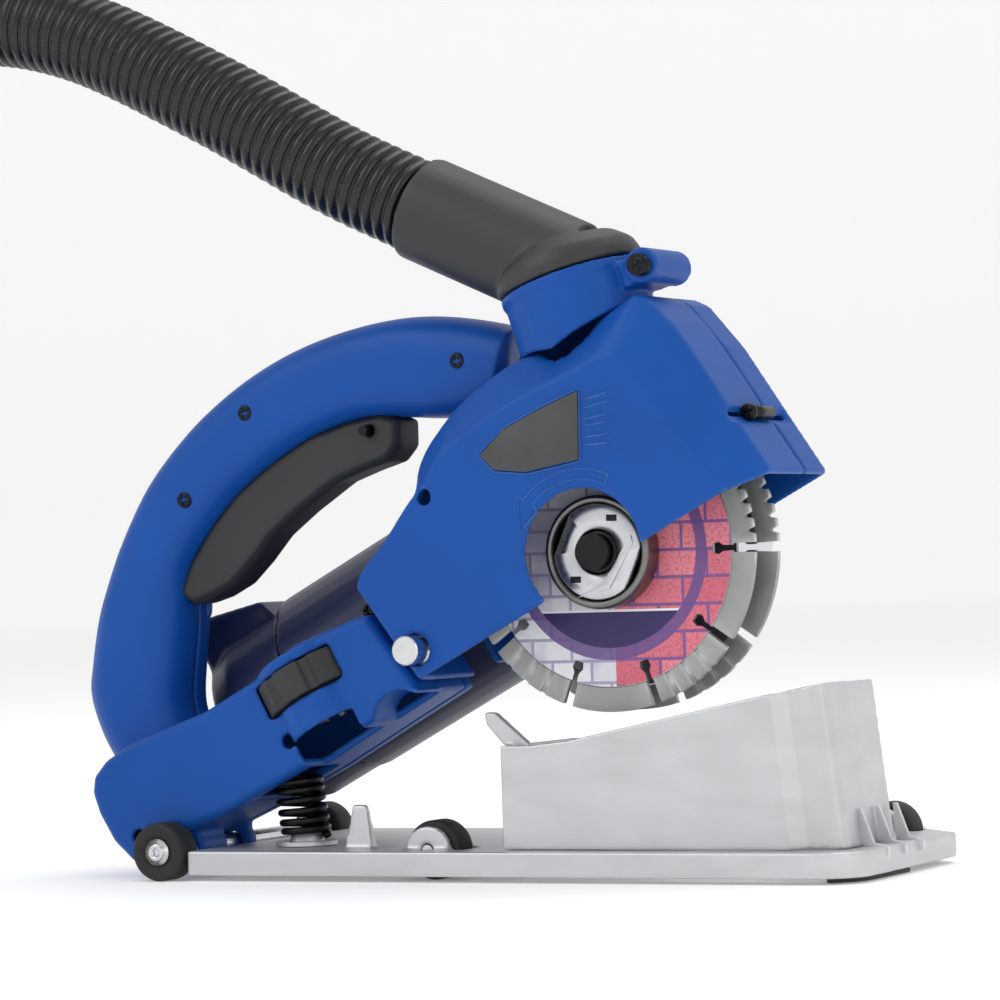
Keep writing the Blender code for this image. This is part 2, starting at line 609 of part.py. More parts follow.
def build_spindle(frame):
    place = place3(SPINDLE)
    shaft = [(0, -56), (7, -56), (7, -14.6), (13, -14.6), (13, -11.2), (6, -11.2), (6, 29), (0, 29)]
    finish(turned(shaft), "spindle", frame, place, "steel")
    teeth = turn_points(gear_outline(SPINDLE_TEETH, GEAR_MODULE), math.pi / 2 + math.pi / SPINDLE_TEETH)
    gear = finish(stack([(14.5, teeth), (23.5, teeth)]), "spindle_gear", frame, place, "steel")
    cut(gear, finish(rod(6.4, 10, 30), "gear_bore", frame, place))
    finish(rod(13, 7.2, 13.9, bore=6.4), "spindle_bearing", frame, place, "steel")
    finish(rod(18.0, -38.6, -18.9, bore=7.4, steps=32), "blade_spacer", frame, place, "steel")
    build_blade("near_blade", NEAR_BLADE_Y, frame)
    build_blade("far_blade", FAR_BLADE_Y, frame)
    nut = [(7.4, -41.4), (7.4, -47.5), (8.6, -47.5), (8.6, -50.0), (18.5, -50.0), (18.5, -41.4)]
    finish(turned(nut), "quick_nut", frame, place, "steel")
    ring = [(18.9, -41.4), (18.9, -50.8), (20.4, -52.0), (22.2, -50.8), (22.2, -41.4)]
    finish(turned(ring), "quick_nut_ring", frame, place, "dark_steel")
    clip = arc((0, 0), 17.8, 25, 155, 9) + [(-16, 4.5), (-9.3, 4.5), (-9.3, 8.5), (9.3, 8.5), (9.3, 4.5), (16, 4.5)]
    finish(stack([(-51.4, clip), (-50.4, clip)]), "quick_nut_clip", frame, place, "steel")


def build_blade(name, y, frame):
    """A disc with ten rim segments parted by keyhole slots."""
    core_r, slot_half, hole_r, hole_at = BLADE_R, 1.1, 2.4, 46.3
    outline = []
    for i in range(10):
        middle = 36.0 * i - 90.0 - REST_TILT
        half_gap = math.degrees(slot_half / core_r)
        outline += arc((0, 0), core_r, middle - 18 + half_gap, middle + 18 - half_gap, 4)
        edge = math.radians(middle + 18)
        for along, side in ((hole_at + 3, -slot_half), (hole_at + 1, -hole_r), (hole_at - 1.6, -1.8)):
            outline.append(rotated(along, side, edge))
        for along, side in ((hole_at - 1.6, 1.8), (hole_at + 1, hole_r), (hole_at + 3, slot_half)):
            outline.append(rotated(along, side, edge))
    blade = finish(stack([(y - 1.0, outline), (y + 1.0, outline)]), name, frame, place3(SPINDLE), "segment")
    cut(blade, finish(rod(7.4, y - 5, y + 5, steps=24), f"{name}_bore", frame, place3(SPINDLE)))
    return blade


def rotated(along, side, angle):
    c, s = math.cos(angle), math.sin(angle)
    return (along * c - side * s, along * s + side * c)


def build_countershaft(frame):
    place = (SPINDLE[0], 0, MOTOR_W)
    teeth = turn_points(gear_outline(PINION_TEETH, GEAR_MODULE), -math.pi / 2)
    shape = stack([(14.5, teeth), (23.5, teeth)])
    shaft = finish(shape, "countershaft_pinion", frame, place, "steel")
    join(shaft, finish(rod(5.0, 7.2, 60.0), "countershaft_rod", frame, place))
    apex_y = MOTOR_Y
    back = apex_y - BEVEL_TEETH * BEVEL_MODULE / 2
    outer = turn_points(gear_outline(RING_TEETH, BEVEL_MODULE, 0.35, 0.75), math.pi / RING_TEETH)
    inner = [(a * 0.66, b * 0.66) for a, b in outer]
    inner_y = apex_y - (apex_y - back) * 0.66
    ring = stack([(back - 2.6, [(a * 0.93, b * 0.93) for a, b in outer]), (back, outer), (inner_y, inner)])
    gear = finish(ring, "bevel_ring_gear", frame, place, "steel")
    cut(gear, finish(rod(5.4, 10, 50), "ring_bore", frame, place))


def build_motor(frame):
    place = (0, MOTOR_Y, MOTOR_W)
    barrel = finish(rod(MOTOR_R, 52.4, 149.6, "X", 36), "motor_housing", frame, place, "motor_navy")
    cut(barrel, finish(rod(MOTOR_R - 3, 40, 180, "X", 32), "barrel_space", frame, place))
    cap = [(0, 6), (26, 6), (35, 12), (MOTOR_R - 1, 24), (MOTOR_R - 1, 52), (0, 52)]
    end = finish(turned(cap, "X", 40), "motor_end_cap", frame, place, "motor_navy")
    space = [(0, 10), (24, 10), (32, 15), (MOTOR_R - 4, 27), (MOTOR_R - 4, 60), (0, 60)]
    crown = [(12, 60), (12, 88), (16, 93), (22, 93.5), (48, 87), (51, 80), (51, 60)]
    join(end, finish(stack([(MOTOR_Y - 24, crown), (MOTOR_Y + 24, crown)]), "end_cap_crown", frame))
    cut(end, finish(turned(space, "X", 40), "end_cap_space", frame, place))
    cut(end, finish(rod(5.4, -10, 12, "X", 16), "gland_hole", frame, (0, MOTOR_Y + 12, MOTOR_W - 12)))
    gland = [(2.6, 0), (5.0, 0), (5.0, 12.6), (7.0, 12.6), (7.0, 14.6), (2.6, 14.6)]
    gland_place = (-2, MOTOR_Y + 12, MOTOR_W - 12)
    finish(turned(gland, "X", 16), "cable_gland", frame, gland_place, "rubber")
    finish(rod(MOTOR_R - 3.5, 70, 126, "X", 32, bore=23.5), "stator", frame, place, "dark_steel")
    shaft = [(0, 20), (4, 20), (4, 40), (14, 40), (14, 62), (5, 62), (5, 75), (22.5, 75), (22.5, 122), (5, 122)]
    shaft += [(5, 204), (0, 204)]
    finish(turned(shaft, "X", 24), "armature", frame, place, "copper")
    fan = [(5.4, 132), (12, 132), (31, 135), (31, 143), (12, 143), (5.4, 143)]
    finish(turned(fan, "X", 24), "cooling_fan", frame, place, "black_plastic")
    finish(rod(11, 12, 19.4, "X", 24, bore=4.4), "armature_rear_bearing", frame, (2, MOTOR_Y, MOTOR_W), "steel")
    finish(rod(16, 156, 165, "X", 24, bore=5.4), "armature_front_bearing", frame, place, "steel")
    for name, side in (("upper", 1), ("lower", -1)):
        edges = sorted((MOTOR_W + side * 14.6, MOTOR_W + side * 30))
        brush = box((46, MOTOR_Y - 4, edges[0]), (55, MOTOR_Y + 4, edges[1]))
        finish(brush, f"carbon_brush_{name}", frame, finish_name="carbon")
    apex_u = SPINDLE[0]
    reach = RING_TEETH * BEVEL_MODULE / 2
    outer = turn_points(gear_outline(BEVEL_TEETH, BEVEL_MODULE, 0.45, 0.95, 0.42), math.pi)
    pinion = bmesh.new()
    rings = []
    for along, scale in ((apex_u - reach - 0.3, 1.0), (apex_u - reach * 0.68, 0.66)):
        rings.append([pinion.verts.new((along, a * scale, b * scale)) for a, b in outer])
    for i in range(len(rings[0])):
        j = (i + 1) % len(rings[0])
        pinion.faces.new((rings[0][i], rings[0][j], rings[1][j], rings[1][i]))
    pinion.faces.new(rings[0])
    pinion.faces.new(rings[1])
    gear = finish(pinion, "bevel_pinion", frame, place, "steel")
    cut(gear, finish(rod(5.4, 190, 204.6, "X", 16), "pinion_bore", frame, place))


def build_gearbox(frame):
    body = [(150.3, 5), (170, 3), (184, -3)] + arc(SPINDLE, 21.8, 225, 335, 7)
    body += [(247, 12), (247, 60), (236, 74), (205, 86), (150.3, 86)]
    near, far = GUARD_FAR + GAP, MOTOR_Y + MOTOR_R - 1
    levels = [(near, body), (far - 6, body), (far, inset(body, 6))]
    box_piece = finish(stack(levels), "gearbox_housing", frame, finish_name="motor_navy")
    hollow = inset(body, 2.4)
    inner = [(near + 4, hollow), (far - 8, hollow), (far - 3.5, inset(body, 9))]
    cut(box_piece, finish(stack(inner), "gearbox_space", frame))
    cut(box_piece, finish(rod(MOTOR_R - 5, 148, 156, "X", 32), "motor_mouth", frame, (0, MOTOR_Y, MOTOR_W)))
    cut(box_piece, finish(rod(13.4, 0, 14, steps=32), "spindle_bearing_seat", frame, place3(SPINDLE)))
    cut(box_piece, finish(rod(6.0, 0, 12), "countershaft_seat", frame, (SPINDLE[0], 0, MOTOR_W)))
    return box_piece


# ---------------------------------------------------------------- controls and trim


def build_trigger(frame):
    outline = [(34, 98.6), (45.8, 107.5), (62.6, 116), (80.3, 122), (99.8, 124.6), (120.5, 125), (139.9, 121)]
    outline += [(155, 116), (160, 110), (155, 100.5), (147.6, 97.7), (135, 100.2), (122.8, 102), (101.2, 100.1)]
    outline += [(85.6, 97.6), (72.5, 92.7), (60, 89.2), (48.5, 89.4), (41.5, 90.8), (38.5, 91.5)]
    local = [(a - TRIGGER_PIN[0], b - TRIGGER_PIN[1]) for a, b in outline]
    width = 11.5
    slim = inset(local, 2.5)
    levels = [(-width, slim), (-width + 3.5, local), (width - 3.5, local), (width, slim)]
    piece = finish(stack(levels), "trigger", frame, place3(TRIGGER_PIN, PARTING_Y), "black_plastic")
    cut(piece, finish(rod(2.4, -30, 30, steps=16), "trigger_bore", frame, place3(TRIGGER_PIN, PARTING_Y)))
    finish(rod(2.0, -16.5, 16.5, steps=16), "trigger_pin", frame, place3(TRIGGER_PIN, PARTING_Y), "steel")
    switch = box((176, PARTING_Y - 9, 108), (196, PARTING_Y + 9, 128))
    finish(switch, "power_switch", frame, finish_name="black_plastic")


STOP_PIN_ENDS = (15.4, 15.0, 15.3, 15.7, 16.1, 16.5)


def build_turret(frame):
    place = (TURRET[0], TURRET[1], 0)
    lobes, rim = 8, []
    for i in range(lobes):
        middle = 360 / lobes * i
        rim += arc((0, 0), KNOB_R, middle - 15, middle + 15, 4)
        rim += arc((0, 0), KNOB_R - 1.8, middle + 19, middle + 26, 2)
    shape = stack([(25.4, rim), (38.6, rim)], "flat")
    knob = finish(shape, "depth_turret_knob", frame, place, "black_plastic")
    cut(knob, finish(rod(6.4, 20, 45, "Z"), "knob_bore", frame, place))
    hub = turned([(0, 18.4), (13, 18.4), (13, 23.6), (6.0, 23.6), (6.0, 40.5), (0, 40.5)], "Z", 24)
    carrier = finish(hub, "depth_stop_carrier", frame, place, "steel")
    for i, low in enumerate(STOP_PIN_ENDS):
        angle = math.radians(-90 + 60 * i)
        pin = rod(2.6, low, 19.0, "Z", 12)
        pin_place = (TURRET[0] + 9 * math.cos(angle), TURRET[1] + 9 * math.sin(angle), 0)
        join(carrier, finish(pin, f"stop_pin_{i}", frame, pin_place))


def build_lock(frame):
    place = place3(LOCK_PIN)
    button = turned([(0, -72.5), (5.3, -72.5), (5.8, -72.0), (5.8, -56), (0, -56)], steps=24)
    finish(button, "plunge_lock_button", frame, place, "steel")


def build_badge(frame):
    outline = [(252, 68.5), (239.5, 45.5), (217.5, 52.5), (206, 60), (203.5, 68), (217, 71.5), (235.5, 70.5)]
    shape = stack([(GUARD_NEAR - 1.2, outline), (GUARD_NEAR - GAP, outline)])
    finish(shape, "badge_plate", frame, finish_name="black_plastic")


def build_screws(frame):
    head = [(0, -3.4), (3.6, -3.4), (4.0, -0.6), (4.0, 0), (0, 0)]
    spots = {"handle_screw_front": (199.3, 113.9), "handle_screw_top": (104.3, 144.7), "handle_screw_rear": (61.6, 128.2)}
    for name, spot in spots.items():
        place = place3(spot, PARTING_Y - HANDLE_HALF - GAP)
        finish(turned(head, steps=16), name, frame, place, "dark_steel")


# ---------------------------------------------------------------- hose

HOSE_R = 19.0
HOSE_ROUTE = [
    (106.3, -30, 267.5), (69, -30, 285.6), (9, -28.5, 319.4), (-56, -26.5, 350.5), (-112, -26, 361),
    (-168, -28, 352), (-217, -33, 325), (-253, -42, 285), (-275, -57, 238), (-286, -79, 190),
    (-291, -107, 145), (-293, -142, 104), (-293, -181, 69), (-293, -225, 42), (-293, -272, 26),
    (-293, -325, 21.4), (-293, -385, 21.4),
]


def smooth_route(route, per_span):
    """Points of a centripetal curve through the route's own points."""
    ends = [tuple(2 * a - b for a, b in zip(route[0], route[1]))]
    ends += route
    ends += [tuple(2 * a - b for a, b in zip(route[-1], route[-2]))]
    points = []
    for p0, p1, p2, p3 in zip(ends, ends[1:], ends[2:], ends[3:]):
        for i in range(per_span):
            t = i / per_span
            points.append(
                tuple(
                    0.5 * (2 * b + (c - a) * t + (2 * a - 5 * b + 4 * c - d) * t * t + (3 * b - a - 3 * c + d) * t**3)
                    for a, b, c, d in zip(p0, p1, p2, p3)
                )
            )
    points.append(route[-1])
    return points


def build_hose(frame):
    tube_curve("dust_hose", smooth_route(HOSE_ROUTE, 2), HOSE_R, 3, "rubber", frame)
    cuff = [(0, 0), (0, -20), (16.5, -20), (16.5, -62), (21.0, -62), (21.0, -34), (19.2, -30), (19.2, 0)]
    end = HOSE_ROUTE[-1]
    finish(turned(cuff, "Y", 24), "hose_cuff", frame, (end[0], end[1] - GAP, end[2]), "rubber")


def main():
    base = new_empty("base_frame", (-CENTRE_X, -CENTRE_Y, 0))
    upper = new_empty("upper_frame", (0, 0, WHEEL_R), base, REST_TILT)
    build_plate(base)
    build_hood(base)
    build_brush(base)
    build_wheels(base)
    build_spring(base)
    build_housings(upper)
    build_grip(upper)
    port = port_frame(upper)
    build_guard(upper, port)
    build_port(upper, port)
    build_elbow(port)
    build_spindle(upper)
    build_countershaft(upper)
    build_motor(upper)
    build_gearbox(upper)
    build_trigger(upper)
    build_turret(upper)
    build_lock(upper)
    build_badge(upper)
    build_screws(upper)
    build_hose(base)


clear_scene()
PARTS = new_collection("wall_chaser")
CUTTERS = new_collection("cutters")
MATERIALS = {name: new_material(name) for name in COLOURS}
main()
bpy.context.view_layer.update()
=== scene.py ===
"""Wall chaser: the visible surfaces, finishes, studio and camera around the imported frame. Metres, +Z up."""

import math

import bmesh
import bpy
from mathutils import Matrix, Vector


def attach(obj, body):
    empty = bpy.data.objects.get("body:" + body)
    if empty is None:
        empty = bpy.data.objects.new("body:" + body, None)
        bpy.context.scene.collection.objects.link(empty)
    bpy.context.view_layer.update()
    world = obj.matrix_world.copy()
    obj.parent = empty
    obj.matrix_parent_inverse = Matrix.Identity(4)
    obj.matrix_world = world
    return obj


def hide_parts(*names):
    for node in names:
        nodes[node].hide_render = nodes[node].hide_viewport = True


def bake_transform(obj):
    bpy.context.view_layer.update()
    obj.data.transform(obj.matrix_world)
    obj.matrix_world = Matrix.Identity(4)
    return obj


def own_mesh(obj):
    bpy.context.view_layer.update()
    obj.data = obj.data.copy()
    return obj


MM = 0.001
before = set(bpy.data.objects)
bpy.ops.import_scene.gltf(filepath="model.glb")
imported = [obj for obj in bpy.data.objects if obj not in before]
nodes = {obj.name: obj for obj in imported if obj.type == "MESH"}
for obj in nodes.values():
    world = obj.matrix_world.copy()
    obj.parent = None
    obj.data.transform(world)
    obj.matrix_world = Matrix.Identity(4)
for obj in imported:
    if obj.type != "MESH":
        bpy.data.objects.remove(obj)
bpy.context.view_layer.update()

# The upper body is drawn in its own axes: u along the sole, y across, w up, hinged on the rear axle.
TILT = math.radians(27.5)
AXLE = Vector((-0.12187, -0.00215, 0.0118))
UPPER = Matrix.Translation(AXLE) @ Matrix.Rotation(-TILT, 4, "Y")
BASE = Matrix.Translation((-0.12187, -0.00215, 0.0))


# ---------------------------------------------------------------- shader maths


class Value:
    """A shader socket. Arithmetic on it adds the matching Math nodes."""

    def __init__(self, finish, socket):
        self.finish = finish
        self.socket = socket

    def maths(self, operation, *inputs):
        return self.finish.node("ShaderNodeMath", {"operation": operation}, dict(enumerate(inputs)))

    def __add__(self, other):
        return self.maths("ADD", self, other)

    def __sub__(self, other):
        return self.maths("SUBTRACT", self, other)

    def __rsub__(self, other):
        return self.maths("SUBTRACT", other, self)

    def __mul__(self, other):
        return self.maths("MULTIPLY", self, other)

    def __gt__(self, other):
        return self.maths("GREATER_THAN", self, other)

    def __lt__(self, other):
        return self.maths("LESS_THAN", self, other)

    def root(self):
        return self.maths("SQRT", self)

    __radd__ = __add__
    __rmul__ = __mul__


def linear(colour):
    """An sRGB colour of 0 to 255 as linear RGBA."""
    shares = [c / 255 for c in colour]
    return [s / 12.92 if s <= 0.04045 else ((s + 0.055) / 1.055) ** 2.4 for s in shares] + [1.0]


class Finish:
    """One material: a Principled shader and the nodes that feed it."""

    def __init__(self, name, colour, roughness, **sockets):
        self.material = bpy.data.materials.new(name)
        self.material.use_nodes = True
        self.tree = self.material.node_tree
        self.shader = self.tree.nodes["Principled BSDF"]
        self.material.diffuse_color = linear(colour)
        self.set("Base Color", linear(colour))
        self.set("Roughness", roughness)
        for socket, value in sockets.items():
            self.set(socket.replace("_", " "), value)

    def node(self, kind, settings=None, inputs=None, output=0):
        made = self.tree.nodes.new(kind)
        for name, value in (settings or {}).items():
            if name == "stops":
                self.set_stops(made.color_ramp, value)
            else:
                setattr(made, name, value)
        for name, value in (inputs or {}).items():
            self.feed(made.inputs[name], value)
        return Value(self, made.outputs[output])

    def set_stops(self, ramp, stops):
        while len(ramp.elements) < len(stops):
            ramp.elements.new(1.0)
        for element, (place, colour) in zip(ramp.elements, stops, strict=True):
            element.position = place
            element.color = linear(colour)

    def feed(self, socket, value):
        if isinstance(value, Value):
            self.tree.links.new(value.socket, socket)
        else:
            socket.default_value = value

    def set(self, socket, value):
        self.feed(self.shader.inputs[socket], value)

    def place(self):
        return self.node("ShaderNodeTexCoord", output="Object")

    def moved(self, location=(0, 0, 0), rotation=(0, 0, 0), scale=(1, 1, 1)):
        inputs = {"Vector": self.place(), "Location": location, "Rotation": rotation, "Scale": scale}
        return self.node("ShaderNodeMapping", {"vector_type": "POINT"}, inputs)

    def noise(self, scale, detail=2.0, stretch=(1, 1, 1), rotation=(0, 0, 0)):
        where = self.moved(rotation=rotation, scale=stretch)
        return self.node("ShaderNodeTexNoise", inputs={"Vector": where, "Scale": scale, "Detail": detail})

    def between(self, value, low, high, start=0.0, end=1.0):
        """value run from low..high onto start..end and held there."""
        inputs = {0: value, 1: low, 2: high, 3: start, 4: end}
        return self.node("ShaderNodeMapRange", {"clamp": True}, inputs)

    def mix(self, factor, first, second):
        colours = [c if isinstance(c, Value) else linear(c) for c in (first, second)]
        inputs = {0: factor, 6: colours[0], 7: colours[1]}
        return self.node("ShaderNodeMix", {"data_type": "RGBA"}, inputs, output=2)

    def edges(self, low, high):
        """1 on convex edges and 0 elsewhere: edge wear together with a painted edge highlight."""
        pointed = self.node("ShaderNodeNewGeometry", output="Pointiness")
        return self.between(pointed, low, high)

    def bump(self, height, distance, strength=1.0):
        inputs = {"Height": height, "Distance": distance, "Strength": strength}
        self.set("Normal", self.node("ShaderNodeBump", inputs=inputs))


def moulded(name, colour, edge_wear_and_highlight_colour, roughness, grain=1300, depth=0.00005, **sockets):
    """Moulded plastic with a spark-eroded grain, faint clouding, handling marks and lighter edges, partly edge
    wear and partly a painted highlight.
    """
    made = Finish(name, colour, roughness, **sockets)
    grain_height = made.noise(grain, 3.0)
    cloud = made.noise(22, 4.0)
    scuffs = made.between(made.noise(60, 6.0, (1, 1, 7), (0.3, 0.5, 0)), 0.62, 0.78, 0.0, 0.35)
    # Lighter on sharp convex edges: partly edge wear, partly a painted edge highlight.
    edge_wear_and_highlight = made.edges(0.53, 0.62) * made.between(cloud, 0.35, 0.65, 0.25, 0.8)
    dark = [c * 0.9 for c in colour]
    light = [min(255, c * 1.07 + 3) for c in colour]
    clouded = made.mix(cloud, dark, light)
    marked = made.mix(scuffs, clouded, light)
    made.set("Base Color", made.mix(edge_wear_and_highlight, marked, edge_wear_and_highlight_colour))
    made.set("Roughness", roughness - 0.06 + grain_height * 0.12 + scuffs * 0.15)
    made.bump(grain_height, depth, 0.7)
    return made.material


def cast(name, colour, roughness, metallic):
    """Die-cast aluminium with a fine skin, flow marks and bright edges, partly edge wear and partly a painted
    highlight.
    """
    made = Finish(name, colour, roughness, Metallic=metallic)
    skin = made.noise(1500, 4.0)
    flow = made.noise(35, 5.0, (1, 1, 2.5))
    # Brighter on sharp convex edges: partly edge wear, partly a painted edge highlight.
    edge_wear_and_highlight = made.edges(0.52, 0.6)
    shaded = made.mix(flow, [c * 0.9 for c in colour], [min(255, c * 1.05) for c in colour])
    made.set("Base Color", made.mix(edge_wear_and_highlight * 0.6, shaded, (236, 238, 240)))
    made.set("Roughness", roughness + flow * 0.16 - 0.08 + skin * 0.06)
    made.bump(skin, 0.00004, 0.6)
    return made.material


def machined(name, colour, roughness, stretch=(1, 1, 12)):
    """Turned or rolled metal: fine lines one way, blotched plating, tarnish in the hollows."""
    made = Finish(name, colour, roughness, Metallic=1.0)
    lines = made.noise(420, 3.0, stretch)
    blotch = made.noise(90, 4.0)
    tarnish = made.edges(0.5, 0.44)
    tinted = made.mix(blotch, [c * 0.86 for c in colour], [min(255, c * 1.08) for c in colour])
    made.set("Base Color", made.mix(tarnish * 0.5, tinted, [c * 0.5 for c in colour]))
    made.set("Roughness", roughness + lines * 0.14 + blotch * 0.08 - 0.1)
    made.bump(lines, 0.00002, 0.5)
    return made.material


# The blade's print, in metres from the blade's centre.
RING_INNER, RING_OUTER, PRINT_R = 0.0375, 0.0422, 0.0525
PANEL_TOP, LINE_WIDTH, NEAR_SIDE = -0.0235, 0.0009, 0.0004


def printed_blade(centre):
    """Satin steel, its near side printed with pale masonry, red brick and a violet ring."""
    made = Finish("printed blade", (176, 176, 180), 0.36, Metallic=0.0)
    spot = made.moved(location=[-c for c in centre])
    across, deep, up = (made.node("ShaderNodeSeparateXYZ", inputs={0: spot}, output=i) for i in range(3))
    radius = (across * across + up * up).root()
    flat = made.node("ShaderNodeCombineXYZ", inputs={0: across, 1: up, 2: 0.0})

    def bricks(first, second, mortar, width, height):
        inputs = {
            "Vector": flat, "Color1": linear(first), "Color2": linear(second), "Mortar": linear(mortar),
            "Scale": 1.0, "Mortar Size": 0.0007, "Mortar Smooth": 0.3, "Brick Width": width, "Row Height": height,
        }
        return made.node("ShaderNodeTexBrick", inputs=inputs)

    red = bricks((236, 134, 148), (214, 104, 122), (120, 84, 150), 0.021, 0.0105)
    pale = bricks((240, 240, 243), (214, 214, 224), (168, 160, 190), 0.017, 0.0085)
    speck = made.noise(900, 4.0)
    red = made.mix(made.between(speck, 0.5, 0.62, 0.0, 0.5), red, (150, 70, 96))
    pale = made.mix(made.between(made.noise(60, 4.0), 0.45, 0.65, 0.0, 0.5), pale, (150, 140, 180))
    print_colour = made.mix(across > 0.002, pale, red)
    ring = (radius > RING_INNER) * (radius < RING_OUTER)
    print_colour = made.mix(ring * 0.92, print_colour, (100, 72, 138))
    inside = radius < RING_INNER
    panel = (up < PANEL_TOP) * inside
    print_colour = made.mix(panel, print_colour, (44, 27, 92))
    line = (up < PANEL_TOP + LINE_WIDTH) * (up > PANEL_TOP) * inside
    print_colour = made.mix(line, print_colour, (238, 238, 242))
    printed = (radius < PRINT_R) * (deep < NEAR_SIDE)
    steel_colour = made.mix(made.noise(300, 3.0, (1, 1, 6)), (150, 150, 154), (190, 190, 194))
    made.set("Base Color", made.mix(printed, steel_colour, print_colour))
    made.set("Metallic", 0.85 - printed * 0.85)
    made.set("Roughness", 0.34 + speck * 0.1)
    made.bump(speck, 0.00001, 0.4)
    return made.material


FINISHES = {
    "printed blade": printed_blade(UPPER @ (Vector((222.7, -41.0, 14.0)) * MM)),
    "soft blue": moulded(
        "soft grip blue", (26, 82, 158), (90, 130, 186), 0.58, 900, 0.00008, Specular_IOR_Level=0.25
    ),
    "ring grey": machined("grey ring", (128, 126, 124), 0.34, (1, 14, 1)),
    "blade steel": machined("blade steel", (150, 150, 152), 0.36, (1, 8, 1)),
    "body blue": moulded("body blue", (14, 76, 160), (88, 128, 190), 0.42, Specular_IOR_Level=0.22),
    "navy": moulded("motor navy", (29, 36, 74), (70, 80, 120), 0.4),
    "matte black": moulded("matte black", (44, 44, 46), (84, 84, 86), 0.48, 1600, 0.00006),
    "grey black": moulded("grey black", (42, 42, 44), (84, 84, 86), 0.58, 1500),
    "hose": moulded("hose black", (14, 14, 15), (45, 45, 46), 0.27, 700, 0.00002),
    "rubber": moulded("roller rubber", (26, 26, 27), (60, 60, 60), 0.68, 1100, 0.0001),
    "aluminium": cast("cast aluminium", (205, 206, 208), 0.4, 0.75),
    "steel": machined("bright steel", (214, 216, 218), 0.24),
    "dark steel": machined("black steel", (46, 46, 48), 0.36),
    "zinc": machined("zinc plate", (206, 208, 212), 0.28, (1, 6, 1)),
    "copper": machined("copper", (196, 118, 78), 0.34),
    "carbon": moulded("carbon", (38, 38, 40), (60, 60, 60), 0.7),
    "segment": cast("sintered segment", (160, 162, 158), 0.62, 0.55),
}

NODE_FINISHES = {
    "aluminium": "base_plate dust_hood spring_seat gearbox_housing",
    "body blue": "housing_near housing_far guard_near guard_far dust_port",
    "navy": "motor_housing motor_end_cap handle_overgrip",
    "matte black": "dust_elbow cable_gland badge_plate power_switch cooling_fan",
    "grey black": "trigger depth_turret_knob",
    "hose": "dust_hose hose_cuff",
    "rubber": "brush_strip rear_near_roller rear_far_roller mid_wheel front_wheel",
    "dark steel": "clamp_screw handle_screw_front handle_screw_top handle_screw_rear plunge_spring quick_nut_ring"
    " spindle trigger_pin",
    "steel": "rear_axle axle_screw_near axle_screw_far mid_wheel_pin front_wheel_pin armature_rear_bearing"
    " armature_front_bearing spindle_bearing spindle_gear blade_spacer"
    " countershaft_pinion bevel_ring_gear armature bevel_pinion plunge_lock_button depth_stop_carrier stator",
    "zinc": "quick_nut quick_nut_clip",
    "printed blade": "near_blade far_blade",
    "carbon": "carbon_brush_upper carbon_brush_lower",
}


def finish_nodes():
    for finish, names in NODE_FINISHES.items():
        for name in names.split():
            node = nodes[name]
            node.data.materials.clear()
            node.data.materials.append(FINISHES[finish])


# ---------------------------------------------------------------- making pieces


def new_piece(name, mesh_maker, place, body, finish, stands_for=()):
    """A bmesh made into a piece: its place goes into its mesh, and it rides on a body."""
    mesh_maker.transform(place)
    bmesh.ops.recalc_face_normals(mesh_maker, faces=mesh_maker.faces)
    mesh = bpy.data.meshes.new(name)
    mesh_maker.to_mesh(mesh)
    mesh_maker.free()
    piece = bpy.data.objects.new(name, mesh)
    bpy.context.scene.collection.objects.link(piece)
    mesh.materials.append(FINISHES[finish])
    mesh.shade_smooth()
    if body:
        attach(piece, body)
    if stands_for:
        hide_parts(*stands_for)
    return piece


def spun(profile, axis="Y", steps=48):
    """A closed or on-axis profile of (radius, along) points in millimetres, turned right round."""
    shape = bmesh.new()
    along = Vector((0, 1, 0)) if axis == "Y" else Vector((0, 0, 1))
    out = Vector((1, 0, 0))
    ring = [shape.verts.new((out * r + along * h) * MM) for r, h in profile]
    for a, b in zip(ring, ring[1:] + ring[:1]):
        if (a.co - b.co).length > 1e-9:
            shape.edges.new((a, b))
    bmesh.ops.spin(
        shape, geom=shape.verts[:] + shape.edges[:], cent=(0, 0, 0), axis=along,
        angle=math.tau, steps=steps, use_merge=True,
    )
    bmesh.ops.remove_doubles(shape, verts=shape.verts, dist=1e-6)
    return shape


def turned_to(place_mm, body_axes):
    """The matrix that puts a shape drawn about the origin at a point of its body, in millimetres."""
    return body_axes @ Matrix.Translation(Vector(place_mm) * MM)


def cylinder(radius, start, end, place_mm, body_axes, steps=48):
    """A solid rod across its body, from start to end in millimetres."""
    shape = bmesh.new()
    bmesh.ops.create_cone(
        shape, cap_ends=True, segments=steps, radius1=radius * MM, depth=(end - start) * MM,
        radius2=radius * MM,
    )
    middle = Vector((0, 1, 0)) * (start + end) / 2 * MM
    shape.transform(Matrix.Translation(middle) @ Matrix.Rotation(-math.pi / 2, 4, "X"))
    shape.transform(turned_to(place_mm, body_axes))
    return shape


def plate(outline, start, end, body_axes, rounded=0.0, segments=2):
    """A flat outline of (u, w) points in millimetres, extruded across from start to end, its rims rounded."""
    shape = bmesh.new()
    face = shape.faces.new([shape.verts.new(Vector((u, start, w)) * MM) for u, w in outline])
    grown = bmesh.ops.extrude_face_region(shape, geom=[face])
    moved = [g for g in grown["geom"] if isinstance(g, bmesh.types.BMVert)]
    bmesh.ops.translate(shape, verts=moved, vec=(0, (end - start) * MM, 0))
    bmesh.ops.recalc_face_normals(shape, faces=shape.faces)
    if rounded:
        rims = [e for e in shape.edges if abs(e.verts[0].co.y - e.verts[1].co.y) < 1e-7]
        bmesh.ops.bevel(
            shape, geom=rims, offset=rounded * MM, offset_type="OFFSET", affect="EDGES", segments=segments,
            profile=0.5, material=-1,
        )
    shape.transform(body_axes)
    return shape


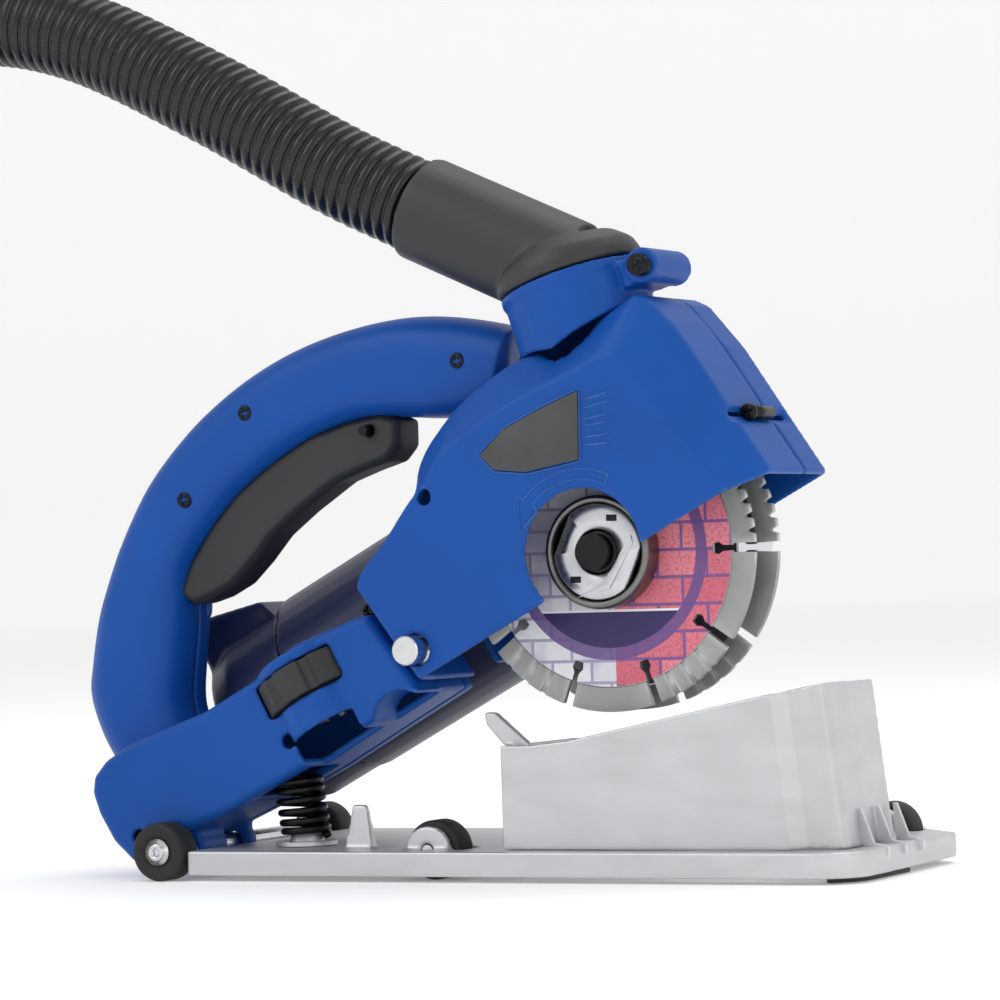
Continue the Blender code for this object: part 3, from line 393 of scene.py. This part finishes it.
def joined(*shapes):
    """Several shapes in one bmesh."""
    whole = bmesh.new()
    for shape in shapes:
        mesh = bpy.data.meshes.new("part")
        shape.to_mesh(mesh)
        shape.free()
        whole.from_mesh(mesh)
        bpy.data.meshes.remove(mesh)
    return whole


def loose_object(name, shape):
    bmesh.ops.recalc_face_normals(shape, faces=shape.faces)
    mesh = bpy.data.meshes.new(name)
    shape.to_mesh(mesh)
    shape.free()
    made = bpy.data.objects.new(name, mesh)
    bpy.context.scene.collection.objects.link(made)
    return made


def moulded_from(name, shape, body, finish, stands_for=(), size=1.0, rounds=6, share=0.6, cuts=()):
    """A closed shape with its edges rounded as a moulding's are: cut, remeshed in fine cells and smoothed."""
    blank = loose_object(name, shape)
    cutters = [loose_object("cutter", cut) for cut in cuts]
    for cutter in cutters:
        hole = blank.modifiers.new("hole", "BOOLEAN")
        hole.object, hole.operation, hole.solver = cutter, "DIFFERENCE", "EXACT"
    cells = blank.modifiers.new("cells", "REMESH")
    cells.mode, cells.voxel_size = "VOXEL", size * MM
    soft = blank.modifiers.new("soft", "SMOOTH")
    soft.factor, soft.iterations = 0.5, rounds
    if share < 1:
        thin = blank.modifiers.new("thin", "DECIMATE")
        thin.ratio = share
    bpy.context.view_layer.update()
    mesh = bpy.data.meshes.new_from_object(blank.evaluated_get(bpy.context.evaluated_depsgraph_get()))
    for gone in (blank, *cutters):
        bpy.data.objects.remove(gone)
    mesh.name = name
    mesh.materials.clear()
    mesh.materials.append(FINISHES[finish])
    mesh.shade_smooth()
    piece = bpy.data.objects.new(name, mesh)
    bpy.context.scene.collection.objects.link(piece)
    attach(piece, body)
    if stands_for:
        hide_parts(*stands_for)
    return piece


def copy_of(node):
    """A welded copy of a CAD node's mesh."""
    shape = bmesh.new()
    shape.from_mesh(nodes[node].data)
    bmesh.ops.remove_doubles(shape, verts=shape.verts, dist=2e-6)
    return shape


# ---------------------------------------------------------------- hose

HOSE_ROUTE = [
    (106.3, -30, 267.5), (69, -30, 285.6), (9, -28.5, 319.4), (-56, -26.5, 350.5), (-112, -26, 361),
    (-168, -28, 352), (-217, -33, 325), (-253, -42, 285), (-275, -57, 238), (-286, -79, 190),
    (-291, -107, 145), (-293, -142, 104), (-293, -181, 69), (-293, -225, 42), (-293, -272, 26),
    (-293, -325, 21.4), (-293, -385, 21.4),
]
HOSE_RIB_R, HOSE_GROOVE_R, HOSE_PITCH = 19.0, 16.6, 5.5


def smooth_route(route, per_span):
    """Points of one smooth curve through the route's own points."""
    points = [Vector(p) for p in route]
    ends = [2 * points[0] - points[1], *points, 2 * points[-1] - points[-2]]
    made = []
    for p0, p1, p2, p3 in zip(ends, ends[1:], ends[2:], ends[3:]):
        for i in range(per_span):
            t = i / per_span
            bend = (2 * p0 - 5 * p1 + 4 * p2 - p3) * t * t + (3 * p1 - p0 - 3 * p2 + p3) * t**3
            made.append(0.5 * (2 * p1 + (p2 - p0) * t + bend))
    return made + [points[-1]]


def lay_along(shape, line):
    """Bends a shape that stands straight along +Z onto a line, without twist."""
    ahead = [(b - a).normalized() for a, b in zip(line, line[1:])]
    ahead.append(ahead[-1])
    side = [Vector((0, 1, 0)).cross(ahead[0]).normalized()]
    for a, b in zip(ahead, ahead[1:]):
        side.append((a.rotation_difference(b) @ side[-1]).normalized())
    reached = [0.0]
    for a, b in zip(line, line[1:]):
        reached.append(reached[-1] + (b - a).length)
    stops = sorted({round(v.co.z, 7) for v in shape.verts})
    places, span = {}, 0
    for stop in stops:
        while span < len(line) - 2 and reached[span + 1] < stop:
            span += 1
        t = (stop - reached[span]) / (reached[span + 1] - reached[span])
        t = min(max(t, 0.0), 1.0)
        forward = ahead[span].lerp(ahead[span + 1], t).normalized()
        across = side[span].lerp(side[span + 1], t)
        across = (across - forward * across.dot(forward)).normalized()
        places[stop] = (line[span].lerp(line[span + 1], t), across, forward.cross(across))
    for v in shape.verts:
        centre, across, up = places[round(v.co.z, 7)]
        v.co = centre + across * v.co.x + up * v.co.y


def build_hose():
    line = [BASE @ (p * MM) for p in smooth_route(HOSE_ROUTE, 10)]
    length = sum((b - a).length for a, b in zip(line, line[1:]))
    ribs = int(length / MM / HOSE_PITCH)
    rib = [(0.0, 0.0), (0.12, 0.35), (0.26, 0.86), (0.5, 1.0), (0.74, 0.86), (0.88, 0.35)]
    pitch = length / MM / ribs
    profile = [
        (HOSE_GROOVE_R + (HOSE_RIB_R - HOSE_GROOVE_R) * rise, (i + along) * pitch)
        for i in range(ribs)
        for along, rise in rib
    ]
    profile = [(0, 0), *profile, (HOSE_GROOVE_R, ribs * pitch), (0, ribs * pitch)]
    shape = spun(profile, "Z", 30)
    lay_along(shape, line)
    hose = new_piece("vacuum_hose", shape, Matrix.Identity(4), None, "hose", ["dust_hose"])
    end = Vector(HOSE_ROUTE[-1])
    grips = [(19.4 + (1.3 if i % 2 else 0.0), -3.0 - 1.7 * i) for i in range(14)]
    cuff = [(17.2, 1.0), (19.4, 0.6), *grips, (19.6, -28.5), (20.9, -32), (21, -60.5)]
    cuff += [(20.2, -62), (17.2, -62), (16.6, -61.2), (16.6, -20), (14.0, -20), (14.0, 0.4)]
    place = BASE @ Matrix.Translation(Vector((end.x, end.y - 0.4, end.z)) * MM)
    sleeve = new_piece("hose_end_cuff", spun(cuff, "Y", 56), place, "base", "matte black", ["hose_cuff"])
    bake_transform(hose)


# ---------------------------------------------------------------- small parts


def bead(name, points, radius, body_axes, body, finish, closed=False):
    """A thin raised line through points in millimetres."""
    curve = bpy.data.curves.new(name, "CURVE")
    curve.dimensions, curve.bevel_depth, curve.bevel_resolution = "3D", radius * MM, 2
    curve.use_fill_caps = True
    spline = curve.splines.new("POLY")
    spline.points.add(len(points) - 1)
    spline.use_cyclic_u = closed
    for spot, point in zip(spline.points, points, strict=True):
        spot.co = (*(body_axes @ (Vector(point) * MM)), 1)
    drawn = bpy.data.objects.new(name, curve)
    shape = bmesh.new()
    mesh = bpy.data.meshes.new_from_object(drawn)
    shape.from_mesh(mesh)
    bpy.data.objects.remove(drawn)
    bmesh.ops.remove_doubles(shape, verts=shape.verts, dist=1e-7)
    return new_piece(name, shape, Matrix.Identity(4), body, finish)


def arc_points(middle, radius, first, last, count):
    angles = [math.radians(first + (last - first) * i / (count - 1)) for i in range(count)]
    return [(middle[0] + radius * math.cos(a), middle[1] + radius * math.sin(a)) for a in angles]


def cross_screw(name, place_mm, radius):
    """A black pan-head screw on the upper body that faces the near side, with its cross cut in."""
    head = [(0, -2.2), (radius * 0.55, -2.1), (radius * 0.88, -1.5), (radius, -0.5), (radius, 0.6), (0, 0.6)]
    shape = spun(head, "Y", 32)
    place = turned_to(place_mm, UPPER)
    shape.transform(place)
    arms = []
    for turn in (0.3, 0.3 + math.pi / 2):
        arm = bmesh.new()
        bmesh.ops.create_cube(arm, size=1.0)
        arm.transform(Matrix.Diagonal((radius * 1.25 * MM, 2.4 * MM, radius * 0.27 * MM, 1)))
        arm.transform(Matrix.Translation((0, -2.2 * MM, 0)) @ Matrix.Rotation(turn, 4, "Y"))
        arm.transform(place)
        arms.append(arm)
    return moulded_from(name, shape, "upper_body", "dark steel", size=0.22, rounds=2, share=0.5, cuts=arms)


# ---------------------------------------------------------------- shells

SPINDLE = (222.7, 14.0)
PARTING = -15.0
DEEP_HOLES = {"guard_near": [(172.9, 66.6)], "housing_near": [(125.3, 21.1), (67.9, 13.7), (-13.1, 12.6)]}
SCREW_CHANNEL = (300.8, 0, 32.5)
FRONT_SCREW = (299.6, 0, 32.5)
LOCK_BUTTON = (140, 0, 16.2)
WELL_R, CHANNEL_R, BUTTON_BORE_R = 3.1, 4.4, 7.3
HANDLE_FOOT = 50.5


def cut_below(shape, body_axes, height):
    """Keeps what lies under a height in the body's own axes, and closes it there."""
    middle = body_axes @ Vector((0, 0, height * MM))
    up = body_axes.to_3x3() @ Vector((0, 0, 1))
    geom = shape.verts[:] + shape.edges[:] + shape.faces[:]
    bmesh.ops.bisect_plane(shape, geom=geom, dist=1e-7, plane_co=middle, plane_no=up, clear_outer=True)
    bmesh.ops.holes_fill(shape, edges=[e for e in shape.edges if e.is_boundary], sides=0)
    return shape


def wells(node):
    return [cylinder(WELL_R, -72, -54, (u, 0, w), UPPER, steps=32) for u, w in DEEP_HOLES.get(node, ())]


def build_shells():
    """The moulded and cast bodies, each rounded from the solid that it stands for."""
    channel = [cylinder(CHANNEL_R, -57, -10, SCREW_CHANNEL, UPPER, steps=32)]
    button_bore = [cylinder(BUTTON_BORE_R, -76, -38, LOCK_BUTTON, UPPER, steps=48)]
    moulded_from(
        "guard_near_shell", copy_of("guard_near"), "upper_body", "body blue", ["guard_near"], 1.0, 9, 0.6,
        wells("guard_near") + channel + button_bore,
    )
    far_channel = [cylinder(CHANNEL_R, -20, 2, SCREW_CHANNEL, UPPER, steps=32)]
    moulded_from(
        "guard_far_shell", copy_of("guard_far"), "upper_body", "body blue", ["guard_far"], 1.1, 6, 0.5,
        far_channel,
    )
    for side in ("near", "far"):
        node = f"housing_{side}"
        arm = cut_below(copy_of(node), UPPER, HANDLE_FOOT)
        moulded_from(f"arm_{side}_shell", arm, "upper_body", "body blue", [node], 0.9, 6, 0.5, wells(node))
    for node, body, finish, size, rounds, share in (
        ("dust_port", "upper_body", "body blue", 0.8, 6, 0.6),
        ("dust_elbow", "upper_body", "matte black", 0.8, 18, 0.6),
        ("motor_housing", "upper_body", "navy", 1.2, 6, 0.6),
        ("motor_end_cap", "upper_body", "navy", 1.2, 8, 0.6),
        ("trigger", "trigger_body", "grey black", 0.8, 12, 0.6),
        ("depth_turret_knob", "turret_body", "grey black", 0.5, 4, 0.6),
        ("dust_hood", "base", "aluminium", 0.7, 5, 0.6),
        ("base_plate", "base", "aluminium", 0.9, 4, 0.5),
    ):
        moulded_from(f"{node}_shell", copy_of(node), body, finish, [node], size, rounds, share)


# ---------------------------------------------------------------- handle

HANDLE_OUTER = [
    (-24.5, 38), (-25.8, 50), (-26.5, 66), (-24, 82), (-17, 93), (-5, 108), (7, 119), (22, 131), (44.5, 145),
    (69, 154), (90.5, 158.5), (111.9, 160), (134.4, 158.5), (158.8, 153.3), (181.4, 145.1), (198.5, 135.5),
    (214.9, 123), (223, 115),
]
HANDLE_INNER = [
    (12, 40), (13, 53), (16, 62), (24, 74), (31, 84), (36.5, 93), (42, 102), (50, 108.5), (62.6, 114.3),
    (78, 119.5), (95, 122.3), (111, 123.4), (128, 122.5), (145, 118.5), (160, 111), (174, 102.5),
    (190, 95), (203, 91),
]
HANDLE_HALF, HANDLE_SIDES, STATIONS_PER_SPAN = 20.0, 40, 6
GRIP_FIRST, GRIP_LAST, GRIP_NOTCH = 27, 80, 4


def handle_rings(grow=0.0):
    """Rings of a rounded section set along the handle, as one open bmesh of bridged rings."""
    shape = bmesh.new()
    outer = smooth_route([(u, 0, w) for u, w in HANDLE_OUTER], STATIONS_PER_SPAN)
    inner = smooth_route([(u, 0, w) for u, w in HANDLE_INNER], STATIONS_PER_SPAN)
    rings = []
    for a, b in zip(outer, inner, strict=True):
        made = bmesh.ops.create_circle(shape, segments=HANDLE_SIDES, radius=1.0)
        middle, reach = (a + b) / 2, (a - b) / 2
        reach = reach.normalized() * (reach.length + grow)
        for v in made["verts"]:
            across, wide = v.co.x, v.co.y
            square = (abs(across) ** 2.9 + abs(wide) ** 2.9) ** (-1 / 2.9)
            wide_mm = wide * square * (HANDLE_HALF + grow)
            v.co = (middle + reach * across * square + Vector((0, PARTING + wide_mm, 0))) * MM
        rings.append(made["verts"])
    for first, second in zip(rings, rings[1:]):
        edges = {e for ring in (first, second) for v in ring for e in v.link_edges if e.other_vert(v) in ring}
        bmesh.ops.bridge_loops(shape, edges=list(edges))
    return shape, rings


def build_handle():
    """The two halves of the handle with their parting line, and the soft grip over its back."""
    for side, sign in (("near", 1), ("far", -1)):
        shape, _ = handle_rings()
        bmesh.ops.holes_fill(shape, edges=[e for e in shape.edges if e.is_boundary], sides=0)
        middle = Vector((0, PARTING - sign * 0.25, 0)) * MM
        geom = shape.verts[:] + shape.edges[:] + shape.faces[:]
        bmesh.ops.bisect_plane(shape, geom=geom, plane_co=middle, plane_no=(0, sign, 0), clear_outer=True)
        rim = [e for e in shape.edges if e.is_boundary]
        bmesh.ops.holes_fill(shape, edges=rim, sides=0)
        new_piece(f"handle_{side}_half", shape, UPPER, "upper_body", "body blue")
    shape, rings = handle_rings(0.7)
    keep = set()
    for station, ring in enumerate(rings[GRIP_FIRST:GRIP_LAST]):
        for k, v in enumerate(ring):
            turn = min(k, HANDLE_SIDES - k)
            if turn <= 8:
                keep.add(v)
            if station % GRIP_NOTCH == 0:
                ahead = v.co - sum((w.co for w in ring), Vector()) / len(ring)
                v.co -= ahead.normalized() * 0.5 * MM
    bmesh.ops.delete(shape, geom=[v for v in shape.verts if v not in keep], context="VERTS")
    bmesh.ops.solidify(shape, geom=shape.faces[:], thickness=1.2 * MM)
    new_piece("handle_soft_grip", shape, UPPER, "upper_body", "soft blue", ["handle_overgrip"])
    for name, u, w in (("front", 199.3, 113.9), ("top", 104.3, 144.7), ("rear", 61.6, 128.2)):
        screw = cross_screw(f"handle_{name}_screw", (u, -33.6, w), 3.6)
        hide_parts(f"handle_screw_{name}")
    for name, u, y, w in (("rear", 74, -47, 42.5), ("front", 122, -47, 43.5)):
        cross_screw(f"arm_{name}_screw", (u, y, w), 3.2)


# ---------------------------------------------------------------- guard trim

BADGE_OUTLINE = [
    (252.6, 69.2), (239.4, 44.8), (217.3, 51.7), (205.2, 59.6), (202.6, 68.7), (217, 72.2), (235.5, 71.2),
]
BADGE_RIBS = [
    ((251.5, 64.6), (262.5, 62.0)), ((250, 61.8), (261, 59.1)), ((248, 58.1), (258.6, 54.7)),
    ((246.8, 55.9), (257.2, 52.2)), ((244.7, 52.1), (254.9, 48.0)), ((243.3, 49.5), (253.3, 45.0)),
]
GUARD_FACE_Y = -64.5


def build_guard_trim():
    """Raised lines of the guard's side, for the badge and the turning arrow, and the guard's screws."""
    badge = [(u, GUARD_FACE_Y, w) for u, w in BADGE_OUTLINE]
    bead("badge_rim", badge, 0.55, UPPER, "upper_body", "body blue", closed=True)
    for i, (first, last) in enumerate(BADGE_RIBS):
        line = [(u, GUARD_FACE_Y + 0.1, w) for u, w in (first, last)]
        bead(f"badge_rib_{i + 1}", line, 0.5, UPPER, "upper_body", "body blue")
    arrow = arc_points(SPINDLE, 32.0, 40, 112, 15) + [(209.5, 45.5), (203.5, 33.5), (213.5, 37.0)]
    arrow += arc_points(SPINDLE, 28.0, 108, 40, 15)
    line = [(u, GUARD_FACE_Y + 0.1, w) for u, w in arrow]
    bead("turning_arrow", line, 0.5, UPPER, "upper_body", "body blue", closed=True)
    cross_screw("guard_front_screw", (FRONT_SCREW[0], -36, FRONT_SCREW[2]), 3.4)
    shank = cylinder(2.6, -36, -16, FRONT_SCREW, UPPER, steps=24)
    new_piece("guard_front_shank", shank, Matrix.Identity(4), "upper_body", "dark steel")
    cross_screw("clamp_screw_head", (292.5, -48.0, 101.4), 4.0)


# ---------------------------------------------------------------- blades

SEGMENT_KINDS = ["plain", "grooved", "plain", "toothed"] * 2 + ["plain", "grooved"]
SEGMENT_TURN, BOTTOM_ANGLE = 36, -117.5
SEGMENT_INNER, BLADE_R, SEGMENT_HALF_ANGLE = 53.0, 62.4, 16.2
BLADE_FINISHES = {"near": "printed blade", "far": "blade steel"}


def segment_shape(kind, middle_angle, y):
    """One sintered block on the blade's rim: plain, split into four pads, or toothed along its edge."""
    first, last = middle_angle - SEGMENT_HALF_ANGLE, middle_angle + SEGMENT_HALF_ANGLE
    root = arc_points(SPINDLE, SEGMENT_INNER, last, first, 10)
    if kind == "plain":
        outline = arc_points(SPINDLE, BLADE_R, first, last, 14) + root
        return plate(outline, y - 1.35, y + 1.35, UPPER, 0.25)
    if kind == "toothed":
        outer = []
        for tooth in range(6):
            begin = first + (last - first) * tooth / 6
            step = (last - first) / 6
            outer += arc_points(SPINDLE, BLADE_R, begin, begin + step * 0.55, 3)
            outer += arc_points(SPINDLE, BLADE_R - 2.6, begin + step * 0.7, begin + step * 0.88, 2)
        return plate(outer + root, y - 1.35, y + 1.35, UPPER, 0.2)
    web = arc_points(SPINDLE, BLADE_R - 0.3, first, last, 14) + root
    pads = [plate(web, y - 0.75, y + 0.75, UPPER)]
    for pad in range(4):
        step = (last - first) / 4
        begin = first + step * pad
        close = begin + step * (0.74 if pad < 3 else 1.0)
        outline = arc_points(SPINDLE, BLADE_R, begin, close, 5)
        outline += arc_points(SPINDLE, SEGMENT_INNER, close, begin, 4)
        pads.append(plate(outline, y - 1.4, y + 1.4, UPPER, 0.15))
    return joined(*pads)


def build_blades():
    for name, y in (("near", -40.0), ("far", -17.4)):
        disc = loose_object("disc", copy_of(f"{name}_blade"))
        inner = SEGMENT_INNER - 0.2
        rim = spun([(inner, y - 4), (70, y - 4), (70, y + 4), (inner, y + 4)], "Y", 120)
        rim.transform(turned_to((SPINDLE[0], 0, SPINDLE[1]), UPPER))
        bmesh.ops.recalc_face_normals(rim, faces=rim.faces)
        cutter = loose_object("rim", rim)
        hole = disc.modifiers.new("hole", "BOOLEAN")
        hole.object, hole.operation, hole.solver = cutter, "DIFFERENCE", "EXACT"
        bpy.context.view_layer.update()
        mesh = bpy.data.meshes.new_from_object(disc.evaluated_get(bpy.context.evaluated_depsgraph_get()))
        shape = bmesh.new()
        shape.from_mesh(mesh)
        for gone in (disc, cutter):
            bpy.data.objects.remove(gone)
        finish = BLADE_FINISHES[name]
        blank = new_piece(f"{name}_blade_disc", shape, Matrix.Identity(4), "spindle_body", finish)
        blank.data.shade_flat()
        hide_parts(f"{name}_blade")
        shapes = []
        for i, kind in enumerate(SEGMENT_KINDS):
            shapes.append(segment_shape(kind, BOTTOM_ANGLE + SEGMENT_TURN * i, y))
        new_piece(f"{name}_blade_segments", joined(*shapes), Matrix.Identity(4), "spindle_body", "segment")


NUT_FLAT = 16.4


def build_quick_nut():
    """The clamping nut: a bright plate with two flats and a fold-out bow inside a grey ring."""
    centre = (SPINDLE[0], 0, SPINDLE[1])
    place = turned_to(centre, UPPER)
    ring = [(19.2, -41.6), (19.2, -50.6), (19.8, -51.8), (20.8, -52.0), (21.9, -51.2), (22.2, -49.5)]
    ring.append((22.2, -41.6))
    new_piece("nut_ring", spun(ring, "Y", 72), place, "spindle_body", "ring grey", ["quick_nut_ring"])
    rounded = [(8.7, -47.4), (8.7, -50.6), (9.2, -51.0), (18.2, -51.0), (18.7, -50.5), (18.7, -42), (8.7, -42)]
    disc = spun(rounded, "Y", 72)
    for sign in (1, -1):
        away = Vector((-0.62, 0, 0.78)) * sign
        bmesh.ops.bisect_plane(
            disc, geom=disc.verts[:] + disc.edges[:] + disc.faces[:], plane_co=away * NUT_FLAT * MM,
            plane_no=away, clear_outer=True,
        )
        bmesh.ops.holes_fill(disc, edges=[e for e in disc.edges if e.is_boundary], sides=0)
    new_piece("nut_plate", disc, place, "spindle_body", "zinc", ["quick_nut"])
    end = spun([(0, -50.2), (7.9, -50.2), (8.4, -49.8), (8.4, -44), (0, -44)], "Y", 48)
    new_piece("spindle_end", end, place, "spindle_body", "dark steel")
    back = spun([(8.5, -45), (19.3, -45), (19.3, -43.5), (8.5, -43.5)], "Y", 48)
    new_piece("nut_shadow_disc", back, place, "spindle_body", "dark steel")
    bow_outline = [(-16.5, -11.5), (-2, -15.2), (15.5, -4.5), (16.2, -1.5), (-4, -12.0)]
    bow = plate(bow_outline, -51.7, -50.9, place, 0.2)
    new_piece("nut_bow", bow, Matrix.Identity(4), "spindle_body", "zinc", ["quick_nut_clip"])
    # Dark blocks over the nut plate's two slots: painted shade standing in for the slot hollows, which are not
    # cut.
    slots = []
    for u, w, turn in ((-13.2, -5.0, 0.5), (12.0, 8.4, 0.5)):
        slot = bmesh.new()
        bmesh.ops.create_cube(slot, size=1.0)
        slot.transform(Matrix.Diagonal((4.6 * MM, 0.9 * MM, 2.6 * MM, 1)))
        bmesh.ops.bevel(
            slot, geom=slot.edges[:], offset=0.3 * MM, affect="EDGES", segments=2, profile=0.5, material=-1
        )
        spot = Matrix.Translation(Vector((u, -50.75, w)) * MM)
        slot.transform(place @ spot @ Matrix.Rotation(turn, 4, "Y"))
        slots.append(slot)
    new_piece("nut_slot_shadows", joined(*slots), Matrix.Identity(4), "spindle_body", "dark steel")


# ---------------------------------------------------------------- base details


def build_spring():
    """The return spring: five and a half open turns with closed ends."""
    low, high = Vector((50.1, -37, 16.6)), Vector((46.6, -37, 40.3))
    turns, steps = 6.5, 24
    count = int(turns * steps)
    points = []
    for i in range(count + 1):
        t = i / count
        rise = (t * t * (3 - 2 * t) * 0.35 + t * 0.65)
        angle = math.tau * turns * t
        centre = low.lerp(high, rise)
        points.append((centre.x + 8.9 * math.cos(angle), centre.y + 8.9 * math.sin(angle), centre.z))
    spring = bead("return_spring", points, 1.5, BASE, "base", "dark steel")
    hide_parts("plunge_spring")
    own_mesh(spring)


def build_wheels():
    """Rubber rollers with domed shoulders and fine side grooves, and the socket bolt of the near one."""
    for name, node, x, y, body in (
        ("rear_near_tyre", "rear_near_roller", 0, -65.1, "near_roller"),
        ("rear_far_tyre", "rear_far_roller", 0, 65.1, "far_roller"),
        ("mid_tyre", "mid_wheel", 117, -48.2, "mid_wheel_body"),
        ("front_tyre", "front_wheel", 266, 57, "front_wheel_body"),
    ):
        half = 6.6
        profile = [(4.6, -half + 1.2), (6.6, -half + 0.6), (7.2, -half), (10.2, -half)]
        profile += [(11.3, -half + 0.6), (11.75, -half + 1.8)]
        profile += [(r, -y0) for r, y0 in reversed(profile)]
        place = turned_to((x, y, 11.8), BASE)
        new_piece(name, spun(profile, "Y", 56), place, body, "rubber", [node])
    bolt = [(0, -71.2), (1.7, -71.2), (1.7, -72.9), (3.0, -72.9), (3.6, -72.4), (3.6, -71.4), (5.4, -71.4)]
    bolt += [(5.4, -70.6), (0, -70.6)]
    new_piece("near_axle_bolt", spun(bolt, "Y", 40), turned_to((0, 0, 11.8), BASE), "base", "steel")


def build_plate_ribs():
    """Three thin ribs over the plate's front edge."""
    ribs = []
    for y in (-34, -16, 2):
        outline = [(288.5, 8), (301.8, 8), (302.1, 12.4), (296, 13.6)]
        outline += [(291.2, 26.5), (289.4, 26.5), (290.5, 12)]
        ribs.append(plate(outline, y - 0.8, y + 0.8, BASE, 0.3))
    new_piece("plate_front_ribs", joined(*ribs), Matrix.Identity(4), "base", "aluminium")


# ---------------------------------------------------------------- studio


def build_studio():
    """A wide pale floor that curves up all round, three softboxes and an even white sky."""
    sweep = bmesh.new()
    curve = [(0.0, 0.0), (1.5, 0.0), (6.0, 0.0), (11.0, 0.0)]
    curve += [(11.0 + 2.0 * math.sin(a), 2.0 - 2.0 * math.cos(a)) for a in (0.3, 0.6, 0.9, 1.2, math.pi / 2)]
    curve += [(13.0, 5.0)]
    line = [sweep.verts.new((x, 0, z)) for x, z in curve]
    edges = [sweep.edges.new(pair) for pair in zip(line, line[1:])]
    bmesh.ops.spin(
        sweep, geom=line + edges, cent=(0, 0, 0), axis=(0, 0, 1), angle=math.tau, steps=96, use_merge=True
    )
    bmesh.ops.remove_doubles(sweep, verts=sweep.verts, dist=1e-5)
    bmesh.ops.recalc_face_normals(sweep, faces=sweep.faces)
    mesh = bpy.data.meshes.new("studio_sweep")
    sweep.to_mesh(mesh)
    sweep.free()
    mesh.shade_smooth()
    floor = bpy.data.objects.new("studio_sweep", mesh)
    bpy.context.scene.collection.objects.link(floor)
    white = Finish("studio white", (250, 250, 250), 0.9, Emission_Strength=0.16)
    white.set("Emission Color", linear((255, 255, 255)))
    mesh.materials.append(white.material)

    world = bpy.data.worlds.new("studio sky")
    world.use_nodes = True
    world.node_tree.nodes["Background"].inputs["Color"].default_value = (1, 1, 1, 1)
    world.node_tree.nodes["Background"].inputs["Strength"].default_value = 0.7
    bpy.context.scene.world = world
    bpy.context.scene.view_settings.view_transform = "Standard"

    for name, place, size, power in (
        ("key softbox", (-1.2, -1.6, 1.9), 1.4, 14),
        ("right strip", (1.9, -0.9, 0.9), 1.0, 3),
        ("top softbox", (0.2, 0.6, 2.2), 1.6, 14),
    ):
        lamp = bpy.data.lights.new(name, "AREA")
        lamp.size, lamp.energy = size, power
        light = bpy.data.objects.new(name, lamp)
        bpy.context.scene.collection.objects.link(light)
        light.location = place
        light.rotation_euler = (Vector((0, 0, 0.12)) - light.location).to_track_quat("-Z", "Y").to_euler()


def build_camera():
    azimuth, elevation, roll = (math.radians(a) for a in (27.16, -0.88, 1.80))
    aim = Vector((0.00175, -0.00215, 0.14946))
    level = math.cos(elevation)
    back = Vector((math.sin(azimuth) * level, -math.cos(azimuth) * level, math.sin(elevation)))
    right = Vector((math.cos(azimuth), math.sin(azimuth), 0))
    up = back.cross(right)
    across = right * math.cos(roll) - up * math.sin(roll)
    upward = right * math.sin(roll) + up * math.cos(roll)
    lens = bpy.data.cameras.new("camera")
    lens.sensor_width, lens.lens = 36, 153.3
    camera = bpy.data.objects.new("camera", lens)
    bpy.context.scene.collection.objects.link(camera)
    turn = Matrix((across, upward, back)).transposed().to_4x4()
    camera.matrix_world = Matrix.Translation(aim + back * 1.72406) @ turn
    bpy.context.scene.camera = camera


build_camera()
build_studio()
build_hose()
finish_nodes()
build_shells()
build_handle()
build_guard_trim()
build_blades()
build_quick_nut()
build_spring()
build_wheels()
build_plate_ribs()
